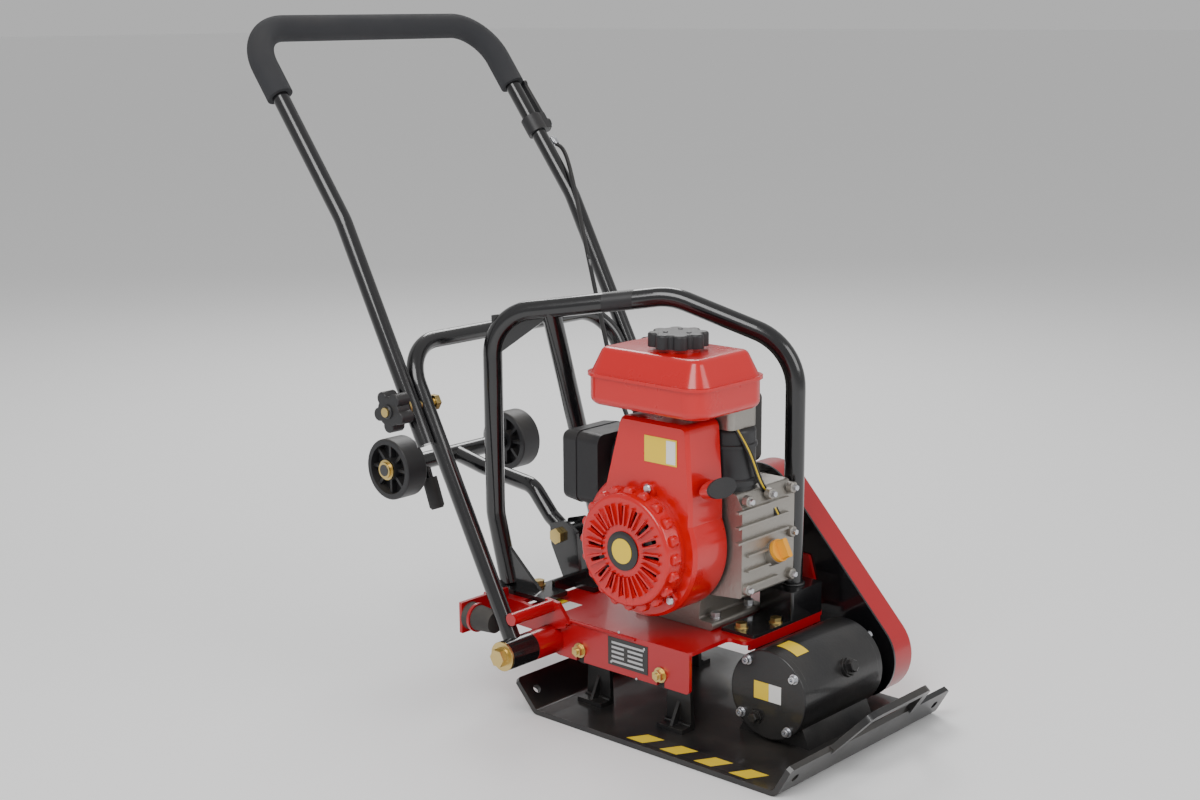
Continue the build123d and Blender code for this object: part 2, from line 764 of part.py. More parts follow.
with BuildPart() as throttle_lever:
    with BuildSketch(side_plane(lever_y + 6, clamp_x, clamp_z).rotated((0, 0, 0))):
        Circle(11)
        Polygon(
            (7 * cos(a), 7 * sin(a)),
            (-72 * sin(a) + 5 * cos(a), 72 * cos(a) + 5 * sin(a)),
            (-72 * sin(a) - 5 * cos(a), 72 * cos(a) - 5 * sin(a)),
            (-7 * cos(a), -7 * sin(a)),
            align=None,
        )
        with Locations((-72 * sin(a), 72 * cos(a))):
            Circle(7)
        Circle(4 + fit, mode=Mode.SUBTRACT)
    extrude(amount=6)
save(throttle_lever, "throttle_lever")

# ---- protective cage ------------------------------------------------------
cage_run = sqrt((cage_front_x - cage_rear_x) ** 2 + (cage_front_y - cage_foot_y + 1) ** 2)
cage_dx = (cage_front_x - cage_rear_x) / cage_run
cage_dy = (cage_front_y - cage_foot_y + 1) / cage_run
peak_run = cage_peak_share * cage_run
foot_z = ledge_z + foot_plate
cage_line = [
    (cage_foot_x, cage_foot_y, foot_z),
    (cage_rear_x, cage_foot_y - 1, cage_knee_z),
    (cage_rear_x, cage_foot_y - 1, cage_rear_z),
    (cage_rear_x + peak_run * cage_dx, cage_foot_y - 1 + peak_run * cage_dy, cage_peak_z),
    (cage_front_x, cage_front_y, cage_front_z),
    (cage_front_x, cage_front_y, bracket_top),
]
cage_radii = [60, 60, 80, 75]
brace_top = (cage_rear_x + 78 * cage_dx, cage_foot_y - 1 + 78 * cage_dy, cage_rear_z + 11)
brace_foot = (cage_foot_x, -cage_foot_y, foot_z)
brace_line = Edge.make_line(brace_foot, brace_top)
gusset_plane = Plane(
    (cage_rear_x, cage_foot_y - 1, 0), x_dir=(cage_dx, cage_dy, 0), z_dir=(cage_dy, -cage_dx, 0)
)
with BuildPart() as cage_frame:
    add(tube(cage_line, cage_radii, cage_tube, 0))
    with Locations(Plane(brace_foot, z_dir=brace_line % 0)):
        Cylinder(cage_tube, brace_line.length, align=(Align.CENTER, Align.CENTER, Align.MIN))
    for side in (-1, 1):
        with Locations((cage_foot_x + 33, side * 94, ledge_z + foot_plate / 2)):
            Box(98, 44, foot_plate)
        with BuildSketch(side_plane(side * 94 + 2.5)):
            Polygon(
                (cage_foot_x + 4, foot_z - 1), (cage_foot_x + 58, foot_z - 1),
                (cage_foot_x + 2, foot_z + 48), align=None,
            )
        extrude(amount=5)
    with BuildSketch(gusset_plane):
        Polygon((0, 432), (0, 484), (95, 498), (14, 438), align=None)
    extrude(amount=2.5, both=True)
    # front bracket down to the deck
    with Locations((32, 74, bracket_top - 2)):
        Box(50, 64, 4)
    with Locations((32, 44, (bracket_top + deck_top) / 2)):
        Box(50, 4, bracket_top - deck_top)
    with Locations((55, 74, (bracket_top + deck_top) / 2)):
        Box(4, 64, bracket_top - deck_top)
    with Locations((32, 5.5, deck_top + 2)):
        Box(50, 81, 4)
    fillet(cage_frame.edges().filter_by(Axis.Z).filter_by(lambda e: e.center().X > 56.9), radius=3)
    with Locations(Plane(brace_foot, z_dir=brace_line % 0)):
        Cylinder(
            cage_tube - tube_wall, brace_line.length,
            align=(Align.CENTER, Align.CENTER, Align.MIN), mode=Mode.SUBTRACT,
        )
    add(tube(cage_line, cage_radii, cage_tube - tube_wall, 0), mode=Mode.SUBTRACT)
save(cage_frame, "cage_frame")

with BuildPart() as cage_bolts:
    for x, y, z in (
        (cage_foot_x + 38, -79, foot_z), (cage_foot_x + 38, 79, foot_z),
        (27, -21, deck_top + 4), (47, 22, deck_top + 4),
    ):
        with Locations((x, y, z)):
            Cylinder(8.5, 1.6, align=(Align.CENTER, Align.CENTER, Align.MIN))
        with BuildSketch(Plane.XY.offset(z + 1.6)):
            with Locations((x, y)):
                RegularPolygon(6.5, 6, major_radius=False)
        extrude(amount=5.5)
save(cage_bolts, "cage_bolts")

# ---- engine ---------------------------------------------------------------
case_width = case_left - case_right
crank = Plane((crank_x, 0, crank_z), x_dir=(1, 0, 0), z_dir=(0, -1, 0))
foot_bolt_x = (-112, -9)
foot_bolt_y = (-26, 40)
with BuildPart() as crankcase:
    with BuildSketch(side_plane(case_left)):
        with BuildLine():
            FilletPolyline(
                (case_rear - 4, engine_base), (2, engine_base), (2, engine_base + 10),
                (-20, engine_base + 10), (-16, 166), (case_front, 172),
                (case_front, 284), (36, case_top), (case_rear, case_top),
                (case_rear, 172), (-100, 166), (-102, engine_base + 10),
                (case_rear - 4, engine_base + 10),
                radius=4, close=True,
            )
        make_face()
    extrude(amount=case_width)
    with Locations((-60, 6, 208)):
        Box(80, case_width - 16, 150)
    with Locations(Plane((case_front, 15, 216), z_dir=(1, 0, 0.5))):
        Cylinder(15, 16)
    with Locations((-60, 6, 212)):
        Box(64, case_width - 16, 148, mode=Mode.SUBTRACT)
    with BuildSketch(side_plane(case_left + 1, crank_x, crank_z)):
        Circle(crank_radius + fit)
    extrude(amount=case_width + 2, mode=Mode.SUBTRACT)
    with Locations(Plane((case_front, 15, 216), z_dir=(1, 0, 0.5))):
        Cylinder(9 + fit, 170, mode=Mode.SUBTRACT)
    for x in foot_bolt_x:
        for y in foot_bolt_y:
            with Locations((x, y, engine_base + 5)):
                Cylinder(4.3, 12, mode=Mode.SUBTRACT)
save(crankcase, "crankcase")

with BuildPart() as engine_bolts:
    for x in foot_bolt_x:
        for y in foot_bolt_y:
            with Locations((x, y, engine_base + 10)):
                Cylinder(6.8, 1.5, align=(Align.CENTER, Align.CENTER, Align.MIN))
                Cylinder(4, 9.7, align=(Align.CENTER, Align.CENTER, Align.MAX))
            with BuildSketch(Plane.XY.offset(engine_base + 11.5)):
                with Locations((x, y)):
                    RegularPolygon(5.5, 6, major_radius=False)
            extrude(amount=6)
save(engine_bolts, "engine_bolts")

case_cover_thick = 16
with BuildPart() as crankcase_cover:
    with BuildSketch(side_plane(case_left + case_cover_thick, crank_x, crank_z)):
        Circle(55)
        Circle(crank_radius + fit, mode=Mode.SUBTRACT)
    extrude(amount=case_cover_thick)
    fillet(crankcase_cover.edges().group_by(Axis.Y)[-1].sort_by(SortBy.LENGTH)[-1], radius=5)
    # posts that carry the belt guard plate
    with BuildSketch(side_plane(guard_plate_y, crank_x, crank_z)):
        with PolarLocations(40, 3, start_angle=80):
            Circle(7)
    extrude(amount=guard_plate_y - case_left - case_cover_thick + 2)
save(crankcase_cover, "crankcase_cover")

with BuildPart() as crankshaft:
    add(rod(crank_x, crank_z, crank_radius, case_left - 26, belt_y + 15))
    add(rod(crank_x, crank_z, crank_radius, -106, case_right + 26))
    for low in (case_left - 34, case_right + 22):
        with BuildSketch(side_plane(low + 12, crank_x, crank_z)):
            Circle(30)
            with Locations((0, 26)):
                Rectangle(70, 30, mode=Mode.SUBTRACT)
            with Locations((0, 18)):
                Circle(13)
        extrude(amount=12)
    add(rod(crank_x, crank_z + 18, 9, case_right + 24, case_left - 24))
save(crankshaft, "crankshaft")

with BuildPart() as flywheel:
    with BuildSketch(side_plane(-66, crank_x, crank_z)):
        Circle(60)
        Circle(crank_radius + 0.02, mode=Mode.SUBTRACT)
    extrude(amount=12)
    with BuildSketch(side_plane(-78, crank_x, crank_z)):
        Circle(26)
        Circle(crank_radius + 0.02, mode=Mode.SUBTRACT)
        with PolarLocations(42, 14):
            Rectangle(34, 3.5, rotation=24)
    extrude(amount=24)
    with BuildSketch(side_plane(-102, crank_x, crank_z)):
        Circle(26)
        Circle(21, mode=Mode.SUBTRACT)
    extrude(amount=12)
save(flywheel, "flywheel")

clutch_hub = crank_radius + 0.02
clutch_pulley = grooved_pulley(crank_x, crank_z, crank_pulley_pitch, clutch_hub, 26)
save(clutch_pulley, "clutch_pulley")


def shroud_outline(inset):
    """Fan-shroud outline about the crank axis, set in by `inset`."""
    with BuildSketch(Plane.XZ) as outline:
        with BuildLine():
            FilletPolyline(
                (-136, 225), (-90, 390), (14, 390), (20, 300), (20, 225), radius=10, close=True,
            )
        make_face()
        with Locations((crank_x, crank_z)):
            Circle(88)
        if inset:
            offset(amount=-inset)
    return outline.sketch


with BuildPart() as fan_shroud:
    extrude(
        shroud_outline(0).moved(Location((0, shroud_left, 0))),
        amount=shroud_left - shroud_right - 5,
    )
    extrude(
        shroud_outline(0.01).moved(Location((0, shroud_right + 5, 0))),
        amount=5, taper=35,
    )
    extrude(
        shroud_outline(3).moved(Location((0, shroud_left + 1, 0))),
        amount=shroud_left - shroud_right - 2, mode=Mode.SUBTRACT,
    )
    with BuildSketch(side_plane(shroud_right + 6, crank_x, crank_z)):
        Circle(63)
    extrude(amount=8, mode=Mode.SUBTRACT)
save(fan_shroud, "fan_shroud")

with BuildPart() as recoil_housing:
    with BuildSketch(side_plane(shroud_right, crank_x, crank_z)):
        Circle(recoil_radius)
        with PolarLocations(recoil_radius + 2, 3, start_angle=75):
            Circle(10)
    extrude(amount=6)
    with BuildSketch(side_plane(shroud_right - 6, crank_x, crank_z)):
        Circle(recoil_radius - 1)
    extrude(amount=shroud_right - recoil_face - 6, taper=9)
    fillet(recoil_housing.faces().sort_by(Axis.Y)[0].edges(), radius=5)
    with BuildSketch(side_plane(shroud_right + 1, crank_x, crank_z)):
        Circle(60)
    extrude(amount=shroud_right - recoil_face - 2, mode=Mode.SUBTRACT)
    with BuildSketch(side_plane(recoil_face + 6, crank_x, crank_z)):
        with PolarLocations(44, 16):
            SlotOverall(24, 4.5)
    extrude(amount=8, mode=Mode.SUBTRACT)
    add(rod(crank_x, crank_z, 7, recoil_face + 2, recoil_face + 20))
save(recoil_housing, "recoil_housing")

with BuildPart() as recoil_reel:
    with BuildSketch(side_plane(recoil_face + 17, crank_x, crank_z)):
        Circle(45)
        Circle(7 + fit, mode=Mode.SUBTRACT)
    extrude(amount=13)
    with BuildSketch(side_plane(recoil_face + 14, crank_x, crank_z)):
        Circle(46)
        Circle(39, mode=Mode.SUBTRACT)
    extrude(amount=7, mode=Mode.SUBTRACT)
save(recoil_reel, "recoil_reel")

# rope handle, parked on the front edge of the shroud
grip_pull_x, grip_pull_y, grip_pull_z = 29, -82, 312
with BuildPart() as recoil_grip:
    with BuildSketch(Plane((grip_pull_x, grip_pull_y, grip_pull_z), z_dir=(1, 0, 0.3))):
        Ellipse(11, 24)
    extrude(amount=13)
    fillet(recoil_grip.edges().group_by(Axis.X)[-1], radius=4)
save(recoil_grip, "recoil_grip")

cyl_x, cyl_y = -64, 1
cylinder_top = 372
with BuildPart() as cylinder_barrel:
    with Locations((cyl_x, cyl_y, (case_top + cylinder_top) / 2)):
        Box(54, 72, cylinder_top - case_top)
    with GridLocations(1, 1, 1, 1):
        for step in range(9):
            with Locations((cyl_x, cyl_y, case_top + 8 + 7.5 * step)):
                Box(74, 90, 2.6)
    with Locations((cyl_x, cyl_y, (case_top + cylinder_top) / 2)):
        Cylinder(20, cylinder_top - case_top, mode=Mode.SUBTRACT)
save(cylinder_barrel, "cylinder_barrel")

with BuildPart() as cylinder_head:
    with Locations((cyl_x, cyl_y, cylinder_top + 7)):
        Box(72, 86, 14)
    with Locations((cyl_x, cyl_y, cylinder_top + 19)):
        Box(52, 64, 14)
    fillet(cylinder_head.edges().group_by(Axis.Z)[-1], radius=4)
    with BuildSketch(Plane.YZ.offset(cyl_x - 37)):
        with Locations((22, cylinder_top + 7)):
            Circle(8)
    extrude(amount=6)
save(cylinder_head, "cylinder_head")

casing_x, casing_y = 5, -18
with BuildPart() as front_casing:
    with BuildSketch(Plane.XY.offset(case_top)):
        with Locations((casing_x, casing_y)):
            Circle(31)
    extrude(amount=76)
    fillet(front_casing.edges().group_by(Axis.Z)[-1], radius=6)
save(front_casing, "front_casing")

bracket_low, bracket_high = case_top + 76, tank_bottom
with BuildPart() as tank_bracket:
    with Locations((2, -22, (bracket_low + bracket_high) / 2)):
        Box(56, 52, bracket_high - bracket_low)
    fillet(tank_bracket.edges().filter_by(Axis.Z), radius=8)
    with Locations((2, -22, bracket_low + 5)):
        Box(40, 36, 20, mode=Mode.SUBTRACT)
save(tank_bracket, "tank_bracket")

tank_mid_x, tank_mid_y = (tank_rear + tank_front) / 2, (tank_right + tank_left) / 2
tank_long, tank_wide = tank_front - tank_rear, tank_left - tank_right
with BuildPart() as fuel_tank:
    with BuildSketch(Plane.XY.offset(tank_bottom)):
        with Locations((tank_mid_x, tank_mid_y)):
            RectangleRounded(tank_long - 6, tank_wide - 6, 26)
    extrude(amount=tank_seam - tank_bottom)
    fillet(fuel_tank.edges().group_by(Axis.Z)[0], radius=10)
    with BuildSketch(Plane.XY.offset(tank_seam - 2)):
        with Locations((tank_mid_x, tank_mid_y)):
            RectangleRounded(tank_long, tank_wide, 28)
    extrude(amount=4)
    with BuildSketch(Plane.XY.offset(tank_seam)):
        with Locations((tank_mid_x, tank_mid_y)):
            RectangleRounded(tank_long - 6, tank_wide - 6, 26)
    extrude(amount=tank_top - tank_seam, taper=26)
    fillet(fuel_tank.edges().group_by(Axis.Z)[-1], radius=9)
    with BuildSketch(Plane.XY.offset(tank_top - 2)):
        with Locations((cap_x, cap_y)):
            Circle(26)
    extrude(amount=6)
    with BuildSketch(Plane.XY.offset(tank_bottom + 3)):
        with Locations((tank_mid_x, tank_mid_y)):
            RectangleRounded(tank_long - 32, tank_wide - 32, 16)
    extrude(amount=tank_top - tank_bottom - 14, mode=Mode.SUBTRACT)
    with BuildSketch(Plane.XY.offset(tank_bottom + 20)):
        with Locations((cap_x, cap_y)):
            Circle(20)
    extrude(amount=100, mode=Mode.SUBTRACT)
save(fuel_tank, "fuel_tank")

with BuildPart() as fuel_cap:
    with BuildSketch(Plane.XY.offset(tank_top + 4.4)):
        with Locations((cap_x, cap_y)):
            Circle(cap_radius - 6)
            with PolarLocations(cap_radius - 9, 8):
                Circle(9)
    extrude(amount=17)
    fillet(fuel_cap.edges().group_by(Axis.Z)[-1], radius=3)
    with BuildSketch(Plane.XY.offset(tank_top + 4.4)):
        with Locations((cap_x, cap_y)):
            Circle(20 - fit)
    extrude(amount=-12)
save(fuel_cap, "fuel_cap")

with BuildPart() as dipstick:
    seat = Plane((case_front, 15, 216), z_dir=(1, 0, 0.5)).offset(8.3)
    with BuildSketch(seat):
        Circle(14)
    extrude(amount=5)
    with BuildSketch(seat.offset(5)):
        with BuildLine():
            FilletPolyline((-12, -4), (12, -4), (12, 4), (-12, 4), radius=3, close=True)
        make_face()
    extrude(amount=12)
    with BuildSketch(seat):
        Circle(9)
    extrude(amount=-14)
    with BuildSketch(seat.offset(-14)):
        Circle(3)
    extrude(amount=-40)
save(dipstick, "dipstick")

carb_rear, carb_front = -158, -120
with BuildPart() as carburettor:
    with Locations(((carb_rear + carb_front) / 2, -26, 322)):
        Box(carb_front - carb_rear, 34, 34)
    with Locations(((carb_rear + carb_front) / 2, -26, 297)):
        Cylinder(15, 22)
    with Locations(Plane((carb_front, -26, 324), z_dir=(1, 0, 0))):
        Cylinder(12, 18.7, align=(Align.CENTER, Align.CENTER, Align.MIN))
    with Locations(Plane((carb_rear, -26, 324), z_dir=(-1, 0, 0))):
        Cylinder(12, 1.7, align=(Align.CENTER, Align.CENTER, Align.MIN))
    with Locations(Plane((-140, -43, 326), z_dir=(0, -1, 0))):
        Cylinder(3, 7, align=(Align.CENTER, Align.CENTER, Align.MIN))
save(carburettor, "carburettor")

with BuildPart() as choke_lever:
    with BuildSketch(side_plane(-44.2, -140, 326)):
        Circle(6)
        with Locations((2, -11)):
            Rectangle(8, 22)
        with Locations((2, -20)):
            Circle(5.5)
        Circle(3 + fit, mode=Mode.SUBTRACT)
    extrude(amount=2.5)
save(choke_lever, "choke_lever")

with BuildPart() as air_filter_box:
    with Locations((-178, -30, 300)):
        Box(36, 88, 92)
    fillet(air_filter_box.edges().filter_by(Axis.X), radius=12)
    with Locations((-182, -30, 300)):
        Box(34, 76, 80, mode=Mode.SUBTRACT)
save(air_filter_box, "air_filter_box")

with BuildPart() as air_filter_cover:
    with BuildSketch(Plane.YZ.offset(-196)):
        with Locations((-30, 300)):
            RectangleRounded(90, 94, 13)
    extrude(amount=-28, taper=6)
    fillet(air_filter_cover.edges().group_by(Axis.X)[0], radius=7)
    with BuildSketch(Plane.YZ.offset(-195)):
        with Locations((-30, 300)):
            RectangleRounded(80, 84, 8)
    extrude(amount=-26, taper=6, mode=Mode.SUBTRACT)
save(air_filter_cover, "air_filter_cover")

with BuildPart() as muffler:
    with Locations((-92, 86, 344)):
        Box(96, 60, 92)
    fillet(muffler.edges(), radius=10)
    with Locations(Plane((-62, 44.2, 382), z_dir=(0, 1, 0))):
        Cylinder(10, 14, align=(Align.CENTER, Align.CENTER, Align.MIN))
    with Locations(Plane((-120, 86, 388), z_dir=(-0.4, 0, 1))):
        Cylinder(9, 12, align=(Align.CENTER, Align.CENTER, Align.MIN))
save(muffler, "muffler")

# ---- belt drive -----------------------------------------------------------


def strap_outline(y, crank_round, exciter_round):
    """Closed outline of a strap drawn tight round circles on the crank and exciter axes."""
    run = sqrt((exciter_x - crank_x) ** 2 + (exciter_z - crank_z) ** 2)
    ux, uz = (exciter_x - crank_x) / run, (exciter_z - crank_z) / run
    share = (crank_round - exciter_round) / run
    rest = sqrt(1 - share * share)
    upper = (ux * share - uz * rest, uz * share + ux * rest)
    lower = (ux * share + uz * rest, uz * share - ux * rest)
    near = [(crank_x + crank_round * n[0], crank_z + crank_round * n[1]) for n in (upper, lower)]
    far = [
        (exciter_x + exciter_round * n[0], exciter_z + exciter_round * n[1])
        for n in (upper, lower)
    ]
    with BuildSketch(side_plane(y)) as outline:
        with BuildLine():
            Line(near[0], far[0])
            ThreePointArc(
                far[0], (exciter_x + ux * exciter_round, exciter_z + uz * exciter_round), far[1]
            )
            Line(far[1], near[1])
            ThreePointArc(
                near[1], (crank_x - ux * crank_round, crank_z - uz * crank_round), near[0]
            )
        make_face()
    return outline.sketch


plate_high = guard_plate_y + guard_plate_sheet
guard_high = guard_plate_y + guard_depth
with BuildPart() as belt_guard_plate:
    extrude(
        strap_outline(plate_high, guard_crank_radius, guard_exciter_radius),
        amount=guard_plate_sheet,
    )
    with BuildSketch(side_plane(plate_high + 1, crank_x, crank_z)):
        Circle(30)
    extrude(amount=6, mode=Mode.SUBTRACT)
    with BuildSketch(side_plane(plate_high + 1, exciter_x, exciter_z)):
        Circle(24)
    extrude(amount=6, mode=Mode.SUBTRACT)
save(belt_guard_plate, "belt_guard_plate")

with BuildPart() as belt_guard_cover:
    extrude(
        strap_outline(guard_high, guard_crank_radius - 1, guard_exciter_radius - 1),
        amount=guard_high - plate_high,
    )
    fillet(belt_guard_cover.faces().sort_by(Axis.Y)[-1].edges(), radius=6)
    extrude(
        strap_outline(guard_high - 2.5, guard_crank_radius - 3.5, guard_exciter_radius - 3.5),
        amount=guard_high - plate_high, mode=Mode.SUBTRACT,
    )
save(belt_guard_cover, "belt_guard_cover")

guard_bolt_places = ((-68, 270), (-95, 222), (34, 168), (10, 110), (128, 48), (125, 92))
with BuildPart() as guard_bolts:
    for x, z in guard_bolt_places:
        with BuildSketch(side_plane(guard_high + 1.6, x, z)):
            Circle(8)
        extrude(amount=1.6)
        with BuildSketch(side_plane(guard_high + 6.5, x, z)):
            RegularPolygon(5, 6, major_radius=False)
        extrude(amount=5)
save(guard_bolts, "guard_bolts")

with BuildPart() as v_belt:
    extrude(
        strap_outline(belt_y + 3.6, crank_pulley_pitch + 3, exciter_pulley_pitch + 3),
        amount=7.2,
    )
    extrude(
        strap_outline(belt_y + 5, crank_pulley_pitch - 6.5, exciter_pulley_pitch - 6.5),
        amount=10, mode=Mode.SUBTRACT,
    )
save(v_belt, "v_belt")

# ---- throttle cable -------------------------------------------------------
cable_radius = 3
cable_points = [
    (clamp_x + 17, lever_y - 2, clamp_z - 22),
    (-484, 223, 652),
    (-230, 34, 402),
    (-158, -14, 350),
    (-146, -26, 343),
]
runs = [
    sqrt(sum((b - a) ** 2 for a, b in zip(one, two)))
    for one, two in zip(cable_points, cable_points[1:])
]
turns = []
for one, two, three in zip(cable_points, cable_points[1:], cable_points[2:]):
    before = [b - a for a, b in zip(one, two)]
    after = [b - a for a, b in zip(two, three)]
    dot = sum(p * q for p, q in zip(before, after))
    size = sqrt(sum(p * p for p in before)) * sqrt(sum(q * q for q in after))
    turns.append(sqrt((size - dot) / (size + dot)))
cable_radii = [
    min(0.45 * min(one, two) / turn, 400) for one, two, turn in zip(runs, runs[1:], turns)
]
throttle_cable = BuildPart()
with throttle_cable:
    add(tube(cable_points, cable_radii, cable_radius, 0))
save(throttle_cable, "throttle_cable")
print("throttle cable bend radii", [round(r, 1) for r in cable_radii])
print("throttle cable volume", throttle_cable.part.volume)
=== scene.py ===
import json
from math import cos, pi, radians, sin

import bmesh
import bpy
from mathutils import Matrix, Vector


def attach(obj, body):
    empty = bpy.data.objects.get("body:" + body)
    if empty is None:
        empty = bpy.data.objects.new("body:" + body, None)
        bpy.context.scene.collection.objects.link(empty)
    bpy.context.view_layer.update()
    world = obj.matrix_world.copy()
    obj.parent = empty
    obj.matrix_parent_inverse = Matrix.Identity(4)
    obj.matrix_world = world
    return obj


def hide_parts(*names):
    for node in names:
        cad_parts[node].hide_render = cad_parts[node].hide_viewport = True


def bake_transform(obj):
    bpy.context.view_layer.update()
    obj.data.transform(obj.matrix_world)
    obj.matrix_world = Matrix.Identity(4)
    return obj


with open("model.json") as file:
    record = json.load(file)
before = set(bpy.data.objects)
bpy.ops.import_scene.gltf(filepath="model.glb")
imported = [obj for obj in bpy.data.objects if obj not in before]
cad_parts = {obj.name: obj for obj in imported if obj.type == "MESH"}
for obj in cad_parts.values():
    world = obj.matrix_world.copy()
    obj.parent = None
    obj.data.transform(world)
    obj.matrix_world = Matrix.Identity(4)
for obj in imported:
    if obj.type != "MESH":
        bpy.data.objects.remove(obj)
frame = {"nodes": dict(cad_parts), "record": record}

bl_info = {
    "name": "Plate compactor dressing",
    "version": (1, 0, 0),
    "blender": (4, 5, 0),
    "location": "3D View > Sidebar > Compactor",
    "description": "Materials, fittings and studio for a vibratory plate compactor",
    "category": "Object",
}

SLOTS = {s["node"]: s["material_slot"] for s in frame["record"]["subparts"]}


# ---- shader groups --------------------------------------------------------
def group(name, inputs, outputs):
    """A new shader group with float or colour sockets."""
    g = bpy.data.node_groups.new(name, "ShaderNodeTree")
    for label, kind, value in inputs:
        s = g.interface.new_socket(label, in_out="INPUT", socket_type=kind)
        s.default_value = value
    for label, kind in outputs:
        g.interface.new_socket(label, in_out="OUTPUT", socket_type=kind)
    return g, g.nodes.new("NodeGroupInput"), g.nodes.new("NodeGroupOutput")


def math_node(g, op, a, b=None):
    """Output of a maths node; each input is a number or a socket."""
    n = g.nodes.new("ShaderNodeMath")
    n.operation = op
    for i, v in enumerate((a, b)):
        if v is None:
            continue
        if isinstance(v, (int, float)):
            n.inputs[i].default_value = v
        else:
            g.links.new(v, n.inputs[i])
    return n.outputs[0]


def noise_node(g, coord, scale, detail=4.0):
    n = g.nodes.new("ShaderNodeTexNoise")
    n.inputs["Detail"].default_value = detail
    if isinstance(scale, (int, float)):
        n.inputs["Scale"].default_value = scale
    else:
        g.links.new(scale, n.inputs["Scale"])
    g.links.new(coord, n.inputs["Vector"])
    return n.outputs["Fac"]


def ramp_node(g, value, low, high):
    n = g.nodes.new("ShaderNodeMapRange")
    n.inputs["From Min"].default_value = low
    n.inputs["From Max"].default_value = high
    g.links.new(value, n.inputs["Value"])
    return n.outputs["Result"]


def wear_group():
    """Mask of worn edges, broken up by noise."""
    g, i, o = group(
        "Edge wear",
        [("Width", "NodeSocketFloat", 0.002), ("Amount", "NodeSocketFloat", 0.5)],
        [("Mask", "NodeSocketFloat")],
    )
    bevel = g.nodes.new("ShaderNodeBevel")
    bevel.samples = 4
    g.links.new(i.outputs["Width"], bevel.inputs["Radius"])
    geo = g.nodes.new("ShaderNodeNewGeometry")
    dot = g.nodes.new("ShaderNodeVectorMath")
    dot.operation = "DOT_PRODUCT"
    g.links.new(bevel.outputs[0], dot.inputs[0])
    g.links.new(geo.outputs["Normal"], dot.inputs[1])
    edge = math_node(g, "SUBTRACT", 1.0, dot.outputs["Value"])
    tex = g.nodes.new("ShaderNodeTexCoord")
    chip = ramp_node(g, noise_node(g, tex.outputs["Object"], 90.0, 6.0), 0.5, 0.62)
    hit = math_node(g, "MULTIPLY", ramp_node(g, edge, 0.03, 0.2), chip)
    g.links.new(math_node(g, "MULTIPLY", hit, i.outputs["Amount"]), o.inputs["Mask"])
    return g


def dust_group():
    """Mask of light dust: more on faces that look up, patchy, more near the ground."""
    g, i, o = group("Dust", [("Amount", "NodeSocketFloat", 0.3)], [("Mask", "NodeSocketFloat")])
    geo = g.nodes.new("ShaderNodeNewGeometry")
    sep = g.nodes.new("ShaderNodeSeparateXYZ")
    g.links.new(geo.outputs["Normal"], sep.inputs[0])
    up = ramp_node(g, sep.outputs["Z"], 0.0, 1.0)
    tex = g.nodes.new("ShaderNodeTexCoord")
    place = g.nodes.new("ShaderNodeSeparateXYZ")
    g.links.new(tex.outputs["Object"], place.inputs[0])
    low = math_node(g, "SUBTRACT", 1.0, ramp_node(g, place.outputs["Z"], 0.0, 0.25))
    both = math_node(g, "ADD", math_node(g, "MULTIPLY", up, 0.6), math_node(g, "MULTIPLY", low, 0.5))
    patch = ramp_node(g, noise_node(g, tex.outputs["Object"], 14.0, 8.0), 0.35, 0.75)
    mask = math_node(g, "MULTIPLY", math_node(g, "MULTIPLY", both, patch), i.outputs["Amount"])
    g.links.new(mask, o.inputs["Mask"])
    return g


def grain_group():
    """Fine surface height and a slow roughness drift."""
    g, i, o = group(
        "Grain",
        [("Scale", "NodeSocketFloat", 900.0)],
        [("Height", "NodeSocketFloat"), ("Drift", "NodeSocketFloat")],
    )
    tex = g.nodes.new("ShaderNodeTexCoord")
    g.links.new(noise_node(g, tex.outputs["Object"], i.outputs["Scale"]), o.inputs["Height"])
    g.links.new(noise_node(g, tex.outputs["Object"], 24.0, 5.0), o.inputs["Drift"])
    return g


GROUPS = {}
MATS = {}


def mix_colour(t, factor, a, b):
    """Colour from a to b by factor; each colour is a tuple or a socket."""
    n = t.nodes.new("ShaderNodeMix")
    n.data_type = "RGBA"
    t.links.new(factor, n.inputs["Factor"])
    for socket, v in ((n.inputs[6], a), (n.inputs[7], b)):
        if isinstance(v, tuple):
            socket.default_value = (*v, 1)
        else:
            t.links.new(v, socket)
    return n.outputs[2]


